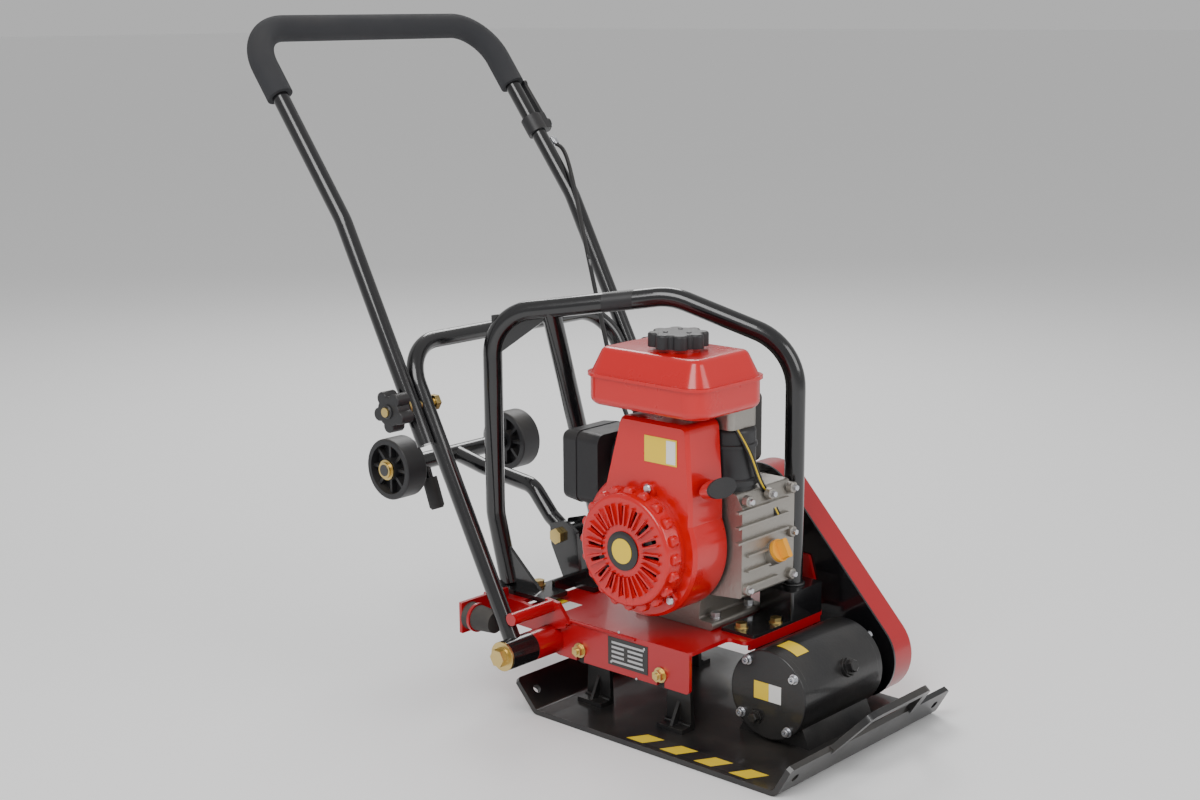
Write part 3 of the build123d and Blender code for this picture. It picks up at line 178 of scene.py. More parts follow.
def finish_mat(name, colour, rough=0.4, metal=0.0, coat=0.0, grain=900.0, bump=0.05,
               dust=0.25, wear=0.0, bare=(0.35, 0.33, 0.3), spread=0.1, bevel=0.0006):
    """A Principled material with grain, dust, chipped edges and a softened edge normal."""
    if name in MATS:
        return MATS[name]
    m = bpy.data.materials.new(name)
    m.use_nodes = True
    t = m.node_tree
    p = t.nodes["Principled BSDF"]
    p.inputs["Metallic"].default_value = metal
    p.inputs["Coat Weight"].default_value = coat
    p.inputs["Coat Roughness"].default_value = 0.08
    made = {}
    for key in ("grain", "dust", "wear"):
        made[key] = t.nodes.new("ShaderNodeGroup")
        made[key].node_tree = GROUPS[key]
    made["grain"].inputs["Scale"].default_value = grain
    made["dust"].inputs["Amount"].default_value = dust
    made["wear"].inputs["Amount"].default_value = wear
    tint = mix_colour(t, made["wear"].outputs["Mask"], tuple(colour), bare)
    tint = mix_colour(t, made["dust"].outputs["Mask"], tint, (0.36, 0.31, 0.25))
    t.links.new(tint, p.inputs["Base Color"])
    centred = math_node(t, "SUBTRACT", made["grain"].outputs["Drift"], 0.5)
    drift = math_node(t, "MULTIPLY", centred, spread * 2)
    dusty = math_node(t, "MULTIPLY", made["dust"].outputs["Mask"], 0.5)
    rough_value = math_node(t, "ADD", dusty, rough)
    t.links.new(math_node(t, "ADD", rough_value, drift), p.inputs["Roughness"])
    b = t.nodes.new("ShaderNodeBump")
    b.inputs["Strength"].default_value = bump
    b.inputs["Distance"].default_value = 0.001
    t.links.new(made["grain"].outputs["Height"], b.inputs["Height"])
    soft = t.nodes.new("ShaderNodeBevel")
    soft.samples = 4
    soft.inputs["Radius"].default_value = bevel
    t.links.new(soft.outputs[0], b.inputs["Normal"])
    t.links.new(b.outputs[0], p.inputs["Normal"])
    MATS[name] = m
    return m


def make_materials(settings):
    red = tuple(settings.engine_red)
    deck = tuple(settings.deck_red)
    black = (0.006, 0.006, 0.007)
    F = finish_mat
    F("plate_black", (0.008, 0.008, 0.009), 0.34, 0, 0.3, 500, 0.08, 0.10, 0.15)
    F("cast_black", (0.008, 0.008, 0.009), 0.34, 0, 0.3, 260, 0.2, 0.08, 0.1)
    F("frame_black", black, 0.2, 0, 0.6, 420, 0.05, 0.03, 0.05)
    F("deck_red", deck, 0.32, 0, 0.45, 420, 0.04, 0.02, 0.05)
    F("engine_red", red, 0.3, 0, 0.5, 500, 0.02, 0.0, 0.0)
    F("screw_gold", (0.66, 0.50, 0.2), 0.32, 1.0, 0, 900, 0.06, 0.1)
    F("screw_zinc", (0.62, 0.63, 0.66), 0.3, 1.0, 0, 900, 0.06, 0.1)
    F("bearing_steel", (0.66, 0.67, 0.69), 0.2, 1.0, 0, 900, 0.03, 0.05)
    F("shaft_steel", (0.5, 0.5, 0.5), 0.3, 1.0, 0, 900, 0.05, 0.05)
    F("pulley_iron", (0.16, 0.16, 0.17), 0.5, 0.7, 0, 400, 0.3, 0.1)
    F("mount_rubber", (0.022, 0.022, 0.023), 0.7, 0, 0, 700, 0.2, 0.4)
    F("engine_cast", (0.36, 0.34, 0.31), 0.42, 0.85, 0, 300, 0.5, 0.1)
    F("moulded_black", (0.018, 0.018, 0.02), 0.42, 0, 0, 1100, 0.15, 0.15)
    F("muffler_steel", (0.05, 0.048, 0.046), 0.6, 0.6, 0, 300, 0.2, 0.3)
    F("belt_rubber", (0.016, 0.016, 0.016), 0.65, 0, 0, 700, 0.2, 0.2)
    F("cable_black", (0.014, 0.014, 0.015), 0.4, 0, 0, 900, 0.05, 0.1)
    F("grip_red", (0.55, 0.015, 0.015), 0.3, 0, 0.4, 900, 0.03, 0.05)
    F("dip_yellow", (0.85, 0.36, 0.02), 0.4, 0, 0, 900, 0.05, 0.05)
    F("foam_grey", (0.032, 0.033, 0.037), 0.9, 0, 0, 1500, 0.9, 0.1)
    F("wheel_black", (0.018, 0.018, 0.02), 0.45, 0, 0, 700, 0.12, 0.25)
    F("label_white", (0.80, 0.80, 0.78), 0.35, 0, 0.3, 900, 0.02, 0.1)
    F("label_yellow", (0.85, 0.60, 0.02), 0.35, 0, 0.3, 900, 0.02, 0.1)
    F("label_black", (0.012, 0.012, 0.012), 0.35, 0, 0.3, 900, 0.02, 0.1)
    F("label_silver", (0.55, 0.56, 0.57), 0.35, 0.9, 0, 900, 0.05, 0.1)
    F("wire_yellow", (0.8, 0.55, 0.02), 0.45, 0, 0, 900, 0.05, 0.05)


# ---- mesh helpers ---------------------------------------------------------
def v(x, y, z):
    """Point given in millimetres."""
    return Vector((x, y, z)) / 1000


def finish_piece(name, bm, body, slot, mat=None, smooth=35):
    """Turns a bmesh into a placed piece, with its normals outward."""
    bmesh.ops.recalc_face_normals(bm, faces=bm.faces)
    me = bpy.data.meshes.new(name)
    bm.to_mesh(me)
    bm.free()
    return place(name, me, body, slot, mat, smooth)


def place(name, me, body, slot, mat=None, smooth=35):
    """Puts a mesh in the scene on its body, with the given material or else its slot's material."""
    o = bpy.data.objects.new(name, me)
    bpy.context.scene.collection.objects.link(o)
    me.materials.clear()
    me.materials.append(MATS[mat or slot])
    me.shade_smooth()
    me.set_sharp_from_angle(angle=radians(smooth))
    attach(o, body)
    return o


def turned(axis):
    """Rotation that takes Z to the axis."""
    return Vector((0, 0, 1)).rotation_difference(Vector(axis).normalized()).to_matrix().to_4x4()


def add_lathe(bm, profile, at, axis, steps=48):
    """Revolves (radius, height) points in millimetres about axis through at."""
    place_at = Matrix.Translation(v(*at)) @ turned(axis)
    rings = []
    for r, h in profile:
        ring = []
        for k in range(steps):
            a = 2 * pi * k / steps
            ring.append(bm.verts.new(place_at @ v(r * cos(a), r * sin(a), h)))
        rings.append(ring)
    for one, two in zip(rings, rings[1:]):
        for k in range(steps):
            bm.faces.new((one[k], one[(k + 1) % steps], two[(k + 1) % steps], two[k]))
    bm.faces.new(rings[0][::-1])
    bm.faces.new(rings[-1])


def lathe(name, profile, at, axis, body, slot, mat=None, steps=48):
    bm = bmesh.new()
    add_lathe(bm, profile, at, axis, steps)
    return finish_piece(name, bm, body, slot, mat)


def slab(name, corners, normal, thick, body, slot, mat=None):
    """Thin plate from corner points in millimetres, lifted along its normal."""
    bm = bmesh.new()
    n = Vector(normal).normalized() * thick / 1000
    low = [bm.verts.new(v(*c)) for c in corners]
    high = [bm.verts.new(v(*c) + n) for c in corners]
    bm.faces.new(low)
    bm.faces.new(high[::-1])
    for k in range(len(low)):
        j = (k + 1) % len(low)
        bm.faces.new((low[k], low[j], high[j], high[k]))
    return finish_piece(name, bm, body, slot, mat)


def smooth_line(points, per=10):
    """Catmull-Rom points through a list in millimetres."""
    p = [Vector(q) for q in points]
    p = [2 * p[0] - p[1]] + p + [2 * p[-1] - p[-2]]
    out = []
    for a, b, c, d in zip(p, p[1:], p[2:], p[3:]):
        for k in range(per):
            t = k / per
            out.append(0.5 * ((2 * b) + (c - a) * t + (2 * a - 5 * b + 4 * c - d) * t**2
                              + (3 * b - a - 3 * c + d) * t**3))
    return out + [p[-2]]


def tube(name, points, radius, body, slot, mat=None, sides=14, ride=True):
    """Round tube along points in millimetres; with ride off it rides on no body and keeps every edge
    smooth.
    """
    bm = bmesh.new()
    side = None
    rings = []
    for k, q in enumerate(points):
        ahead = (points[min(k + 1, len(points) - 1)] - points[max(k - 1, 0)]).normalized()
        if side is None:
            side = ahead.orthogonal().normalized()
        side = (side - ahead * side.dot(ahead)).normalized()
        up = ahead.cross(side)
        ring = []
        for s in range(sides):
            a = 2 * pi * s / sides
            ring.append(bm.verts.new((q + radius * (side * cos(a) + up * sin(a))) / 1000))
        rings.append(ring)
    for one, two in zip(rings, rings[1:]):
        for s in range(sides):
            bm.faces.new((one[s], one[(s + 1) % sides], two[(s + 1) % sides], two[s]))
    bm.faces.new(rings[0][::-1])
    bm.faces.new(rings[-1])
    if ride:
        return finish_piece(name, bm, body, slot, mat)
    bmesh.ops.recalc_face_normals(bm, faces=bm.faces)
    me = bpy.data.meshes.new(name)
    bm.to_mesh(me)
    bm.free()
    o = bpy.data.objects.new(name, me)
    bpy.context.scene.collection.objects.link(o)
    me.materials.append(MATS[mat or slot])
    me.shade_smooth()
    return o


# ---- geometry nodes -------------------------------------------------------
def ring_group():
    """Copies of an object round a circle in the XY plane."""
    g = bpy.data.node_groups.new("Ring of copies", "GeometryNodeTree")
    g.interface.new_socket("Geometry", in_out="INPUT", socket_type="NodeSocketGeometry")
    for label, kind in (("Item", "NodeSocketObject"), ("Count", "NodeSocketInt"),
                        ("Radius", "NodeSocketFloat"), ("Twist", "NodeSocketFloat"),
                        ("Material", "NodeSocketMaterial")):
        g.interface.new_socket(label, in_out="INPUT", socket_type=kind)
    g.interface.new_socket("Geometry", in_out="OUTPUT", socket_type="NodeSocketGeometry")
    i, o = g.nodes.new("NodeGroupInput"), g.nodes.new("NodeGroupOutput")
    circle = g.nodes.new("GeometryNodeMeshCircle")
    g.links.new(i.outputs["Count"], circle.inputs["Vertices"])
    g.links.new(i.outputs["Radius"], circle.inputs["Radius"])
    info = g.nodes.new("GeometryNodeObjectInfo")
    g.links.new(i.outputs["Item"], info.inputs["Object"])
    index = g.nodes.new("GeometryNodeInputIndex")
    step = g.nodes.new("ShaderNodeMath")
    step.operation = "DIVIDE"
    step.inputs[0].default_value = 2 * pi
    g.links.new(i.outputs["Count"], step.inputs[1])
    angle = g.nodes.new("ShaderNodeMath")
    angle.operation = "MULTIPLY_ADD"
    g.links.new(index.outputs[0], angle.inputs[0])
    g.links.new(step.outputs[0], angle.inputs[1])
    g.links.new(i.outputs["Twist"], angle.inputs[2])
    spin = g.nodes.new("ShaderNodeCombineXYZ")
    g.links.new(angle.outputs[0], spin.inputs["Z"])
    inst = g.nodes.new("GeometryNodeInstanceOnPoints")
    g.links.new(circle.outputs["Mesh"], inst.inputs["Points"])
    g.links.new(info.outputs["Geometry"], inst.inputs["Instance"])
    g.links.new(spin.outputs[0], inst.inputs["Rotation"])
    real = g.nodes.new("GeometryNodeRealizeInstances")
    g.links.new(inst.outputs[0], real.inputs[0])
    paint = g.nodes.new("GeometryNodeSetMaterial")
    g.links.new(real.outputs[0], paint.inputs["Geometry"])
    g.links.new(i.outputs["Material"], paint.inputs["Material"])
    g.links.new(paint.outputs[0], o.inputs[0])
    return g


def ring_of(name, item, count, radius, at, axis, body, slot, mat=None, start=0.0):
    """Plain mesh of `count` copies of a bmesh item round an axis; radius in millimetres."""
    me = bpy.data.meshes.new(name + "_item")
    item.to_mesh(me)
    item.free()
    one = bpy.data.objects.new(name + "_item", me)
    host = bpy.data.objects.new(name + "_host", bpy.data.meshes.new(name + "_host"))
    for o in (one, host):
        bpy.context.scene.collection.objects.link(o)
    mod = host.modifiers.new("Ring", "NODES")
    mod.node_group = GROUPS["ring"]
    values = {"Item": one, "Count": count, "Radius": radius / 1000, "Twist": 0.0,
              "Material": MATS[mat or slot]}
    for s in GROUPS["ring"].interface.items_tree:
        if s.in_out == "INPUT" and s.name in values:
            mod[s.identifier] = values[s.name]
    dg = bpy.context.evaluated_depsgraph_get()
    dg.update()
    got = bpy.data.meshes.new_from_object(host.evaluated_get(dg))
    bpy.data.objects.remove(host)
    bpy.data.objects.remove(one)
    got.transform(Matrix.Translation(v(*at)) @ turned(axis) @ Matrix.Rotation(start, 4, "Z"))
    return place(name, got, body, slot, mat)


# ---- pieces ---------------------------------------------------------------
# Places in millimetres, in the frame's axes: X forward, Y to the belt side, Z up.
EXCITER = (97, 67)  # x and z of the drum's axis
CRANK = (-60, 233)  # x and z of the crankshaft
KNOB = (-346.9, 380.4)  # x and z of the handle knobs
CLAMP = (-539.2, 699.9)  # x and z of the throttle lever's pivot
AXLE = (-495, 258)  # x and z of the transport wheels
CAP = (-25, -80)  # x and y of the fuel cap
MOUNTS = (-145, -14)  # x of the two rows of rubber mounts
MOUNT_Z = 84
SOLE_TOP = 7.1  # just above the plate's upper face
DECK_TOP = 121.1  # just above the deck's upper face
UP = (0, 0, 1)
ORIGIN = (0, 0, 0)


def hex_head(bm, at, axis, across, high):
    """Six-sided bolt head, across flats, with a chamfered top."""
    corner = across * 0.577
    add_lathe(bm, [(corner, 0), (corner, high * 0.8), (across * 0.5, high)], at, axis, 6)


def paint_cad():
    """Materials and smooth shading for every CAD node."""
    for name, o in frame["nodes"].items():
        o.data.materials.clear()
        o.data.materials.append(MATS[SLOTS[name]])
        o.data.shade_smooth()
        o.data.set_sharp_from_angle(angle=radians(30))


def make_exciter_trim():
    lathe("drain_plug", [(9, 0), (9, 3), (6.5, 3), (6.5, 9), (5.5, 10)], (81, -60, 37), (0, -1, 0),
          "base", "cast_black", steps=6)
    d = Vector((1, 0, 0.45)).normalized()
    at = Vector((EXCITER[0], 30, EXCITER[1])) + d * 59
    lathe("filler_plug", [(11, 0), (11, 2.5), (8, 2.5), (8, 9), (6.5, 10)], at, d, "base",
          "cast_black", steps=6)
    washer = bmesh.new()
    add_lathe(washer, [(6.2, 0), (6.2, 1.2)], ORIGIN, UP, 24)
    ring_of("cover_washers", washer, 4, 48.5, (EXCITER[0], -60, EXCITER[1]), (0, -1, 0),
            "base", "screw_zinc", start=radians(38))
    lathe("exciter_lip", [(18, 0), (18, 2.5), (15, 4), (10.3, 4)],
          (EXCITER[0], 102, EXCITER[1]), (0, 1, 0), "base", "mount_rubber")
    for k, (lo, hi, mat) in enumerate(((-20, 2, "label_yellow"), (2, 20, "label_white"))):
        left, right = EXCITER[0] + lo, EXCITER[0] + hi
        slab(f"cover_label_{k}", [(left, -60.2, 60), (right, -60.2, 60), (right, -60.2, 82),
                                  (left, -60.2, 82)], (0, -1, 0), 0.3, "base", "cast_black", mat)
    bm = bmesh.new()
    rows = []
    label_radius = 55.4
    for k in range(9):
        a = radians(62 + 4 * k)
        x, z = EXCITER[0] + label_radius * cos(a), EXCITER[1] + label_radius * sin(a)
        rows.append([bm.verts.new(v(x, y, z)) for y in (-38, -14)])
    for one, two in zip(rows, rows[1:]):
        bm.faces.new((one[0], one[1], two[1], two[0]))
    finish_piece("drum_label", bm, "base", "cast_black", "label_yellow")


def make_base_trim():
    for k in range(7):
        x = -40 + 26 * k
        mat = "label_yellow" if k % 2 == 0 else "label_black"
        slab(f"plate_stripe_{k}", [(x, -158, SOLE_TOP), (x + 26, -158, SOLE_TOP),
                                   (x + 40, -134, SOLE_TOP), (x + 14, -134, SOLE_TOP)], UP, 0.25,
             "base", "plate_black", mat)
    for k, x in enumerate(MOUNTS):
        for side in (-1, 1):
            path = [Vector((x - 20 + 2 * i, side * 92.4, 13.4 + 0.3 * (i % 2))) for i in range(21)]
            tube(f"upright_weld_{k}_{side + 1}", path, 2.2, "base", "plate_black", sides=8)
    for side in (-1, 1):
        nuts = bmesh.new()
        for x in MOUNTS:
            hex_head(nuts, (x, side * 85, MOUNT_Z), (0, -side, 0), 13, 6.5)
        finish_piece(f"upright_nuts_{side + 1}", nuts, "base", "screw_gold")


def make_deck_trim():
    slab("data_plate", [(-98, -125.1, 78), (-34, -125.1, 78), (-34, -125.1, 114), (-98, -125.1, 114)],
         (0, -1, 0), 0.5, "deck", "deck_red", "label_black")
    for k, (x, z, w) in enumerate(((-92, 106, 52), (-92, 100, 20), (-66, 100, 24), (-92, 94, 20),
                                   (-66, 94, 24), (-92, 88, 20), (-66, 88, 24), (-92, 82, 52))):
        slab(f"data_line_{k}", [(x, -125.7, z), (x + w, -125.7, z), (x + w, -125.7, z + 3),
                                (x, -125.7, z + 3)], (0, -1, 0), 0.1, "deck", "deck_red",
             "label_silver")
    rivet = bmesh.new()
    add_lathe(rivet, [(1.8, 0), (1.8, 0.6), (1.0, 1.2)], ORIGIN, UP, 16)
    ring_of("data_rivets", rivet, 4, 30, (-66, -125.6, 96), (0, -1, 0), "deck", "deck_red",
            "label_silver", start=radians(28))
    for k, (x, mat) in enumerate(((-232, "label_yellow"), (-208, "label_white"))):
        slab(f"deck_label_{k}", [(x, -112, DECK_TOP), (x + 22, -112, DECK_TOP),
                                 (x + 22, -76, DECK_TOP), (x, -76, DECK_TOP)], UP, 0.3,
             "deck", "deck_red", mat)
    for side in (-1, 1):
        path = [Vector((-170 + 4 * i, side * 125.6, 118.2 + 0.4 * (i % 2))) for i in range(30)]
        tube(f"deck_weld_{side + 1}", path, 2.0, "deck", "deck_red", sides=8)
    for side in (-1, 1):
        lathe(f"buffer_seat_{side + 1}", [(18.5, 0), (18.5, 4)], (-261.5, side * 190, 118), (1, 0, 0),
              "deck", "deck_red")


def make_engine_trim():
    lathe("starter_badge", [(24, 0), (24, 1.6), (21, 2.4), (18, 2.4)],
          (CRANK[0], -140, CRANK[1]), (0, -1, 0), "deck", "moulded_black", "label_black")
    lathe("starter_disc", [(15.5, 0), (15.5, 0.5), (13, 0.8)], (CRANK[0], -142.4, CRANK[1]), (0, -1, 0),
          "deck", "moulded_black", "label_yellow")
    screw = bmesh.new()
    add_lathe(screw, [(5.5, 0), (5.5, 2), (4.2, 3.5), (1.5, 3.5)], ORIGIN, UP, 24)
    ring_of("starter_screws", screw, 3, 78.5, (CRANK[0], -118, CRANK[1]), (0, -1, 0),
            "deck", "screw_zinc", start=radians(75))
    rib = bmesh.new()
    add_lathe(rib, [(1.4, 0), (1.4, 13), (0.8, 14)], ORIGIN, UP, 8)
    ring_of("cap_ribs", rib, 40, 29.2, (*CAP, 479), UP, "cap", "moulded_black")
    mark = bmesh.new()
    add_lathe(mark, [(3, 0), (3, 1)], ORIGIN, UP, 20)
    ring_of("cap_marks", mark, 3, 16, (*CAP, 494.3), UP, "cap", "moulded_black")
    head = bmesh.new()
    hex_head(head, ORIGIN, UP, 8, 5)
    ring_of("rocker_bolts", head, 4, 24, (-64, 1, 398), (0, 0, 1), "deck", "screw_zinc",
            start=radians(40))
    rib_bar = bmesh.new()
    bmesh.ops.create_cube(rib_bar, size=1, matrix=Matrix.Diagonal((0.004, 0.03, 0.002, 1)))
    ring_of("silencer_ribs", rib_bar, 12, 20, (-92, 116.3, 340), (0, 1, 0), "deck", "muffler_steel")
    for k, (x, y) in enumerate(((18, -34), (-8, -12), (-80, -88), (0, -88))):
        lathe(f"tank_rubber_{k}", [(9, 0), (10, 3), (9, 11)], (x, y, 393), (0, 0, 1), "deck",
              "mount_rubber")
    lathe("plug_cap", [(8, 0), (9, 2), (9, 20), (6, 24)], (-101, 22, 379), (-1, 0, 0), "deck",
          "moulded_black")
    lead = smooth_line([(-124, 22, 379), (-140, 18, 386), (-132, -20, 396), (-120, -48, 388),
                        (-108, -60, 372)])
    tube("plug_lead", lead, 3.5, "deck", "cable_black")
    for k in range(3):
        off = 3.2 * k
        wire = smooth_line([(24, -40 + off, 384), (40, -30 + off, 350), (42, -10 + off, 310),
                            (40, 8 + off, 290), (48, 20 + off, 262)])
        tube(f"loom_wire_{k}", wire, 1.4, "deck", "cable_black", "wire_yellow" if k == 1 else None, 10)
    hose = smooth_line([(-150, -40, 345), (-156, -48, 320), (-150, -52, 292), (-138, -56, 268)])
    tube("fuel_hose", hose, 4, "deck", "cable_black")
    rope = smooth_line([(22, -82, 310), (26, -82, 311), (31, -82, 313)], 4)
    tube("starter_rope", rope, 2.2, "deck", "cable_black")
    fin = bmesh.new()
    bmesh.ops.create_cube(fin, size=1, matrix=Matrix.Translation((0, 0, 0.0015))
                          @ Matrix.Diagonal((0.026, 0.0022, 0.006, 1)))
    ring_of("starter_fins", fin, 32, 45, (CRANK[0], -139.5, CRANK[1]), (0, -1, 0), "deck", "engine_red",
            start=radians(5.6))
    lobe = bmesh.new()
    add_lathe(lobe, [(7, 0), (7, 7), (5.5, 9)], ORIGIN, UP, 20)
    ring_of("starter_scallops", lobe, 20, 70, (CRANK[0], -124, CRANK[1]), (0, -1, 0),
            "deck", "engine_red")
    bolt = bmesh.new()
    hex_head(bolt, ORIGIN, UP, 8, 5)
    ring_of("cover_bolts", bolt, 6, 48, (CRANK[0], 74, CRANK[1]), (0, 1, 0), "deck", "screw_zinc")
    for k in range(6):
        z = 186 + 19 * k
        bm = bmesh.new()
        bmesh.ops.create_cube(bm, size=1, matrix=Matrix.Translation(v(47.5, -8, z))
                              @ Matrix.Diagonal((0.006, 0.06 if k < 3 else 0.1, 0.003, 1)))
        finish_piece(f"case_rib_{k}", bm, "deck", "engine_cast")
    for k, (y, z) in enumerate(((-38, 182), (-38, 292), (50, 182), (50, 292), (6, 293), (50, 236))):
        lathe(f"case_boss_{k}", [(7, 0), (7, 7), (6, 8)], (44, y, z), (1, 0, 0), "deck", "engine_cast")
        bm = bmesh.new()
        hex_head(bm, (51.5, y, z), (1, 0, 0), 7, 5)
        finish_piece(f"case_bolt_{k}", bm, "deck", "screw_zinc")
    bm = bmesh.new()
    add_lathe(bm, [(34, 0), (34, 6), (32, 8)], (5, -18, 306), (0, 0, 1))
    add_lathe(bm, [(33, 0), (33, 4), (31, 5)], (5, -18, 352), (0, 0, 1))
    finish_piece("casing_bands", bm, "deck", "moulded_black")
    # Black oval disc, 3 mm thick, on the red pull grip.
    bm = bmesh.new()
    add_lathe(bm, [(10, 0), (10, 3)], ORIGIN, UP, 32)
    bm.transform(Matrix.Translation(v(41.5, -82, 316)) @ turned((1, 0, 0.3))
                 @ Matrix.Diagonal((1.2, 2.6, 1, 1)))
    finish_piece("grip_rim", bm, "pull_grip", "grip_red", "moulded_black")
    slab("shroud_label", [(-50, -112.3, 340), (0, -112.3, 340), (0, -112.3, 372), (-50, -112.3, 372)],
         (0, -1, 0), 0.3, "deck", "engine_red", "label_yellow")
    slab("shroud_label_bar", [(-16, -112.7, 342), (-2, -112.7, 342), (-2, -112.7, 370),
                              (-16, -112.7, 370)], (0, -1, 0), 0.2, "deck", "engine_red", "label_white")
    lathe("filter_knob", [(11, 0), (11, 8), (9, 10)], (-224, -30, 300), (-1, 0, 0), "deck",
          "moulded_black")
    lathe("carb_screw", [(4, 0), (4, 5), (3, 6)], (-139, -26, 286), (0, 0, -1), "deck", "screw_gold")


def make_handle_trim():
    for side, body in ((-1, "right_knob"), (1, "left_knob")):
        lathe(f"knob_dome_{side + 1}", [(9, 0), (9, 1.5), (7.5, 3)], (KNOB[0], side * 252.8, KNOB[1]),
              (0, side, 0), body, "moulded_black")
    for side in (-1, 1):
        lathe(f"knob_washer_{side + 1}", [(14, 0), (14, 2.4)], (KNOB[0], side * 223.9, KNOB[1]),
              (0, side, 0), "upper_handle", "screw_gold")
    lathe("lever_nut", [(7.5, 0), (7.5, 5), (6, 6.5)], (CLAMP[0], 237.9, CLAMP[1]), (0, 1, 0),
          "upper_handle", "screw_zinc", steps=6)
    line = smooth_line([(-522, 229.5, 678), (-484, 223, 652), (-357, 128.5, 527), (-230, 34, 402),
                        (-158, -14, 350), (-146, -26, 343)], 14)
    cut = 28
    first = tube("cable_upper", line[:cut + 1], 3, None, "cable_black", ride=False)
    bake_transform(first)
    second = tube("cable_lower", line[cut:], 3, None, "cable_black", ride=False)
    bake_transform(second)
    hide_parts("throttle_cable")
    for k, frac in enumerate((0.03, 0.06)):
        q = line[int(frac * len(line)) + 1]
        lathe(f"cable_ferrule_{k}", [(4.5, 0), (4.5, 10)], q, (-1, 0.1, 1),
              "upper_handle", "screw_zinc")


def make_carriage_trim():
    bm = bmesh.new()
    d = Vector((20, 0, -54)).normalized()
    at = Vector((-492, -60, 252)) + d * 18
    add_lathe(bm, [(10.5, 0), (10.5, 40), (8, 44)], at, d)
    finish_piece("pedal_sleeve", bm, "carriage", "mount_rubber")
    for side in (-1, 1):
        lathe(f"axle_washer_{side + 1}", [(14, 0), (14, 2.4), (11, 2.6), (11, 6)],
              (AXLE[0], side * 127.6, AXLE[1]), (0, side, 0), "carriage", "screw_gold")


def make_cage_trim():
    ux, uy = 0.9009, 0.434
    bm = bmesh.new()
    rings = []
    for k in range(5):
        t = 148 + 10 * k
        c = Vector((-321 + ux * t, -95 + uy * t, 485 + 33 * t / 235))
        ring = [bm.verts.new((c + 12.8 * (Vector((-uy, ux, 0)) * cos(2 * pi * j / 32)
                                         + Vector((0, 0, 1)) * sin(2 * pi * j / 32))) / 1000)
                for j in range(32)]
        rings.append(ring)
    for one, two in zip(rings, rings[1:]):
        for j in range(32):
            bm.faces.new((one[j], one[(j + 1) % 32], two[(j + 1) % 32], two[j]))
    finish_piece("cage_wrap", bm, "deck", "frame_black", "moulded_black")
    bead = bmesh.new()
    bmesh.ops.create_icosphere(bead, subdivisions=2, radius=0.0022)
    ring_of("cage_foot_weld", bead, 44, 13.5, (33, 75, 161), (0, 0, 1), "deck", "frame_black")


def make_stage(s):
    bm = bmesh.new()
    bmesh.ops.create_grid(bm, x_segments=1, y_segments=1, size=60)
    me = bpy.data.meshes.new("floor")
    bm.to_mesh(me)
    bm.free()
    floor = bpy.data.objects.new("floor", me)
    m = bpy.data.materials.new("floor")
    m.use_nodes = True
    p = m.node_tree.nodes["Principled BSDF"]
    p.inputs["Base Color"].default_value = (0.93, 0.93, 0.93, 1)
    p.inputs["Roughness"].default_value = 0.6
    me.materials.append(m)
    bpy.context.scene.collection.objects.link(floor)
    world = bpy.data.worlds.new("studio")
    world.use_nodes = True
    bg = world.node_tree.nodes["Background"]
    bg.inputs["Color"].default_value = (1, 1, 1, 1)
    bg.inputs["Strength"].default_value = s.sky
    bpy.context.scene.world = world
    for name, at, size, power in (("key", (0.6, -2.2, 2.6), 1.8, s.key),
                                  ("fill", (2.6, 0.6, 1.6), 1.6, s.key * 0.45),
                                  ("rim", (-1.8, 1.6, 2.2), 1.4, s.key * 0.6)):
        data = bpy.data.lights.new(name, "AREA")
        data.energy = power
        data.size = size
        o = bpy.data.objects.new(name, data)
        o.location = at
        o.rotation_mode = "QUATERNION"
        o.rotation_quaternion = (Vector(at) - Vector((-0.1, 0, 0.35))).to_track_quat("Z", "Y")
        bpy.context.scene.collection.objects.link(o)
    cam = bpy.data.objects.new("camera", bpy.data.cameras.new("camera"))
    cam.data.lens = 54.5
    yaw, roll = radians(42.17), -0.00698
    fwd = Vector((-0.6563, 0.7246, -0.2105)).normalized()
    right = Vector((cos(yaw), sin(yaw), 0))
    up = right.cross(fwd)
    r2 = right * cos(roll) + up * sin(roll)
    u2 = up * cos(roll) - right * sin(roll)
    cam.matrix_world = Matrix.Translation((1.3159, -1.6981, 0.8646)) @ Matrix(
        (r2, u2, -fwd)).transposed().to_4x4()
    bpy.context.scene.collection.objects.link(cam)
    bpy.context.scene.camera = cam


# ---- add-on ---------------------------------------------------------------
class CompactorSettings(bpy.types.PropertyGroup):
    engine_red: bpy.props.FloatVectorProperty(
        name="Engine red", subtype="COLOR", size=3, default=(0.60, 0.0, 0.002))
    deck_red: bpy.props.FloatVectorProperty(
        name="Deck red", subtype="COLOR", size=3, default=(0.42, 0.0, 0.006))
    key: bpy.props.FloatProperty(name="Key light", default=62.0, min=1.0)
    sky: bpy.props.FloatProperty(name="Sky", default=0.55, min=0.0)


def settings():
    return bpy.context.scene.compactor


class COMPACTOR_OT_materials(bpy.types.Operator):
    """Makes the shader groups and materials and paints the CAD nodes"""

    bl_idname = "compactor.materials"
    bl_label = "Materials"

    def execute(self, context):
        GROUPS["grain"] = grain_group()
        GROUPS["dust"] = dust_group()
        GROUPS["wear"] = wear_group()
        GROUPS["ring"] = ring_group()
        make_materials(settings())
        paint_cad()
        return {"FINISHED"}


class COMPACTOR_OT_base(bpy.types.Operator):
    """Fittings, welds and marks on the base plate and exciter"""

    bl_idname = "compactor.base"
    bl_label = "Base and exciter"

    def execute(self, context):
        make_base_trim()
        make_exciter_trim()
        return {"FINISHED"}


class COMPACTOR_OT_deck(bpy.types.Operator):
    """Plates, welds and seats on the engine deck"""

    bl_idname = "compactor.deck"
    bl_label = "Deck"

    def execute(self, context):
        make_deck_trim()
        return {"FINISHED"}


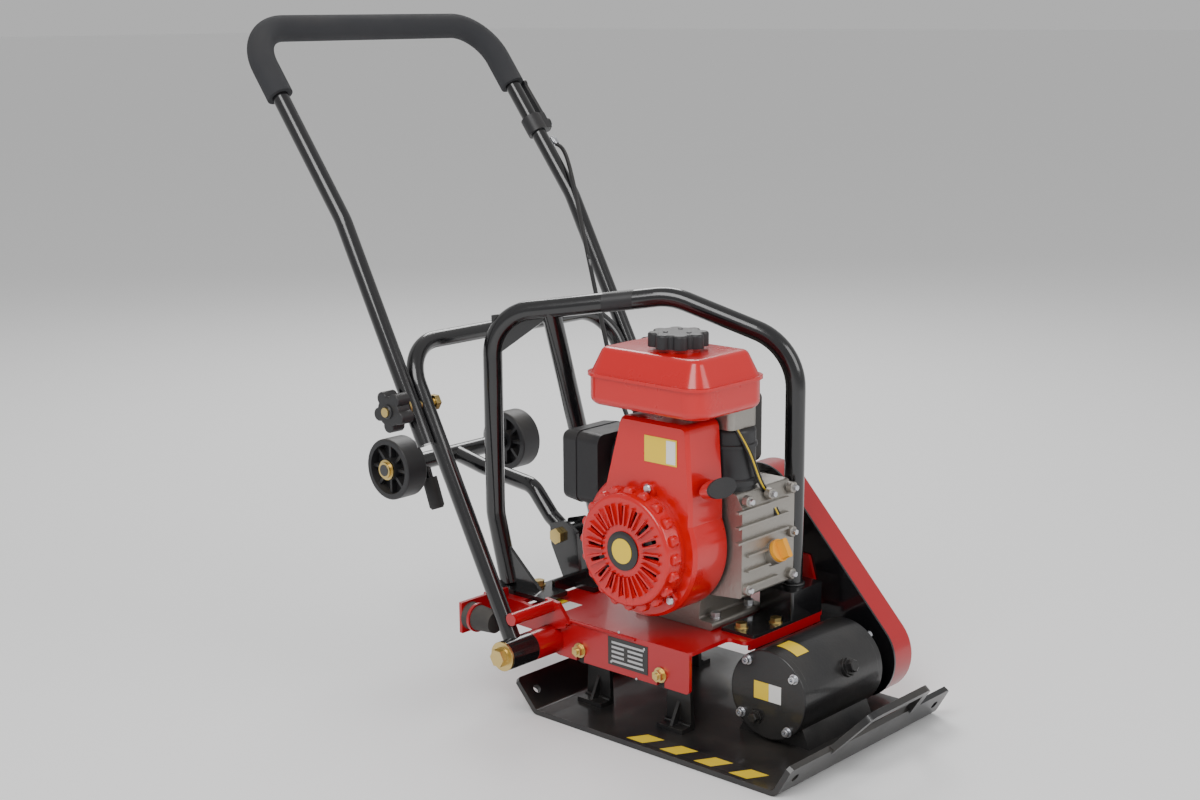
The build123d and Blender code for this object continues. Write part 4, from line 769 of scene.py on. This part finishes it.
class COMPACTOR_OT_engine(bpy.types.Operator):
    """Screws, hoses, wires and marks on the engine"""

    bl_idname = "compactor.engine"
    bl_label = "Engine"

    def execute(self, context):
        make_engine_trim()
        return {"FINISHED"}


class COMPACTOR_OT_handle(bpy.types.Operator):
    """Washers, nuts and the throttle cable"""

    bl_idname = "compactor.handle"
    bl_label = "Handle"

    def execute(self, context):
        make_handle_trim()
        return {"FINISHED"}


class COMPACTOR_OT_carriage(bpy.types.Operator):
    """Pedal sleeve and axle washers"""

    bl_idname = "compactor.carriage"
    bl_label = "Carriage"

    def execute(self, context):
        make_carriage_trim()
        return {"FINISHED"}


class COMPACTOR_OT_cage(bpy.types.Operator):
    """Wrap and weld of the tube guard"""

    bl_idname = "compactor.cage"
    bl_label = "Tube guard"

    def execute(self, context):
        make_cage_trim()
        return {"FINISHED"}


class COMPACTOR_OT_stage(bpy.types.Operator):
    """Floor, lights and camera"""

    bl_idname = "compactor.stage"
    bl_label = "Stage"

    def execute(self, context):
        make_stage(settings())
        return {"FINISHED"}


OPERATORS = (
    COMPACTOR_OT_materials, COMPACTOR_OT_base, COMPACTOR_OT_deck, COMPACTOR_OT_engine,
    COMPACTOR_OT_handle, COMPACTOR_OT_carriage, COMPACTOR_OT_cage, COMPACTOR_OT_stage,
)


class COMPACTOR_PT_panel(bpy.types.Panel):
    """Settings and steps"""

    bl_idname = "COMPACTOR_PT_panel"
    bl_label = "Compactor"
    bl_space_type = "VIEW_3D"
    bl_region_type = "UI"
    bl_category = "Compactor"

    def draw(self, context):
        for key in ("engine_red", "deck_red", "key", "sky"):
            self.layout.prop(context.scene.compactor, key)
        for op in OPERATORS:
            self.layout.operator(op.bl_idname)


CLASSES = (CompactorSettings, *OPERATORS, COMPACTOR_PT_panel)


def register():
    for c in CLASSES:
        bpy.utils.register_class(c)
    bpy.types.Scene.compactor = bpy.props.PointerProperty(type=CompactorSettings)


def unregister():
    del bpy.types.Scene.compactor
    for c in reversed(CLASSES):
        bpy.utils.unregister_class(c)


def main():
    register()
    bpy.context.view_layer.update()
    for name in ("materials", "base", "deck", "engine", "handle", "carriage", "cage", "stage"):
        getattr(bpy.ops.compactor, name)()


if __name__ == "__main__":
    main()
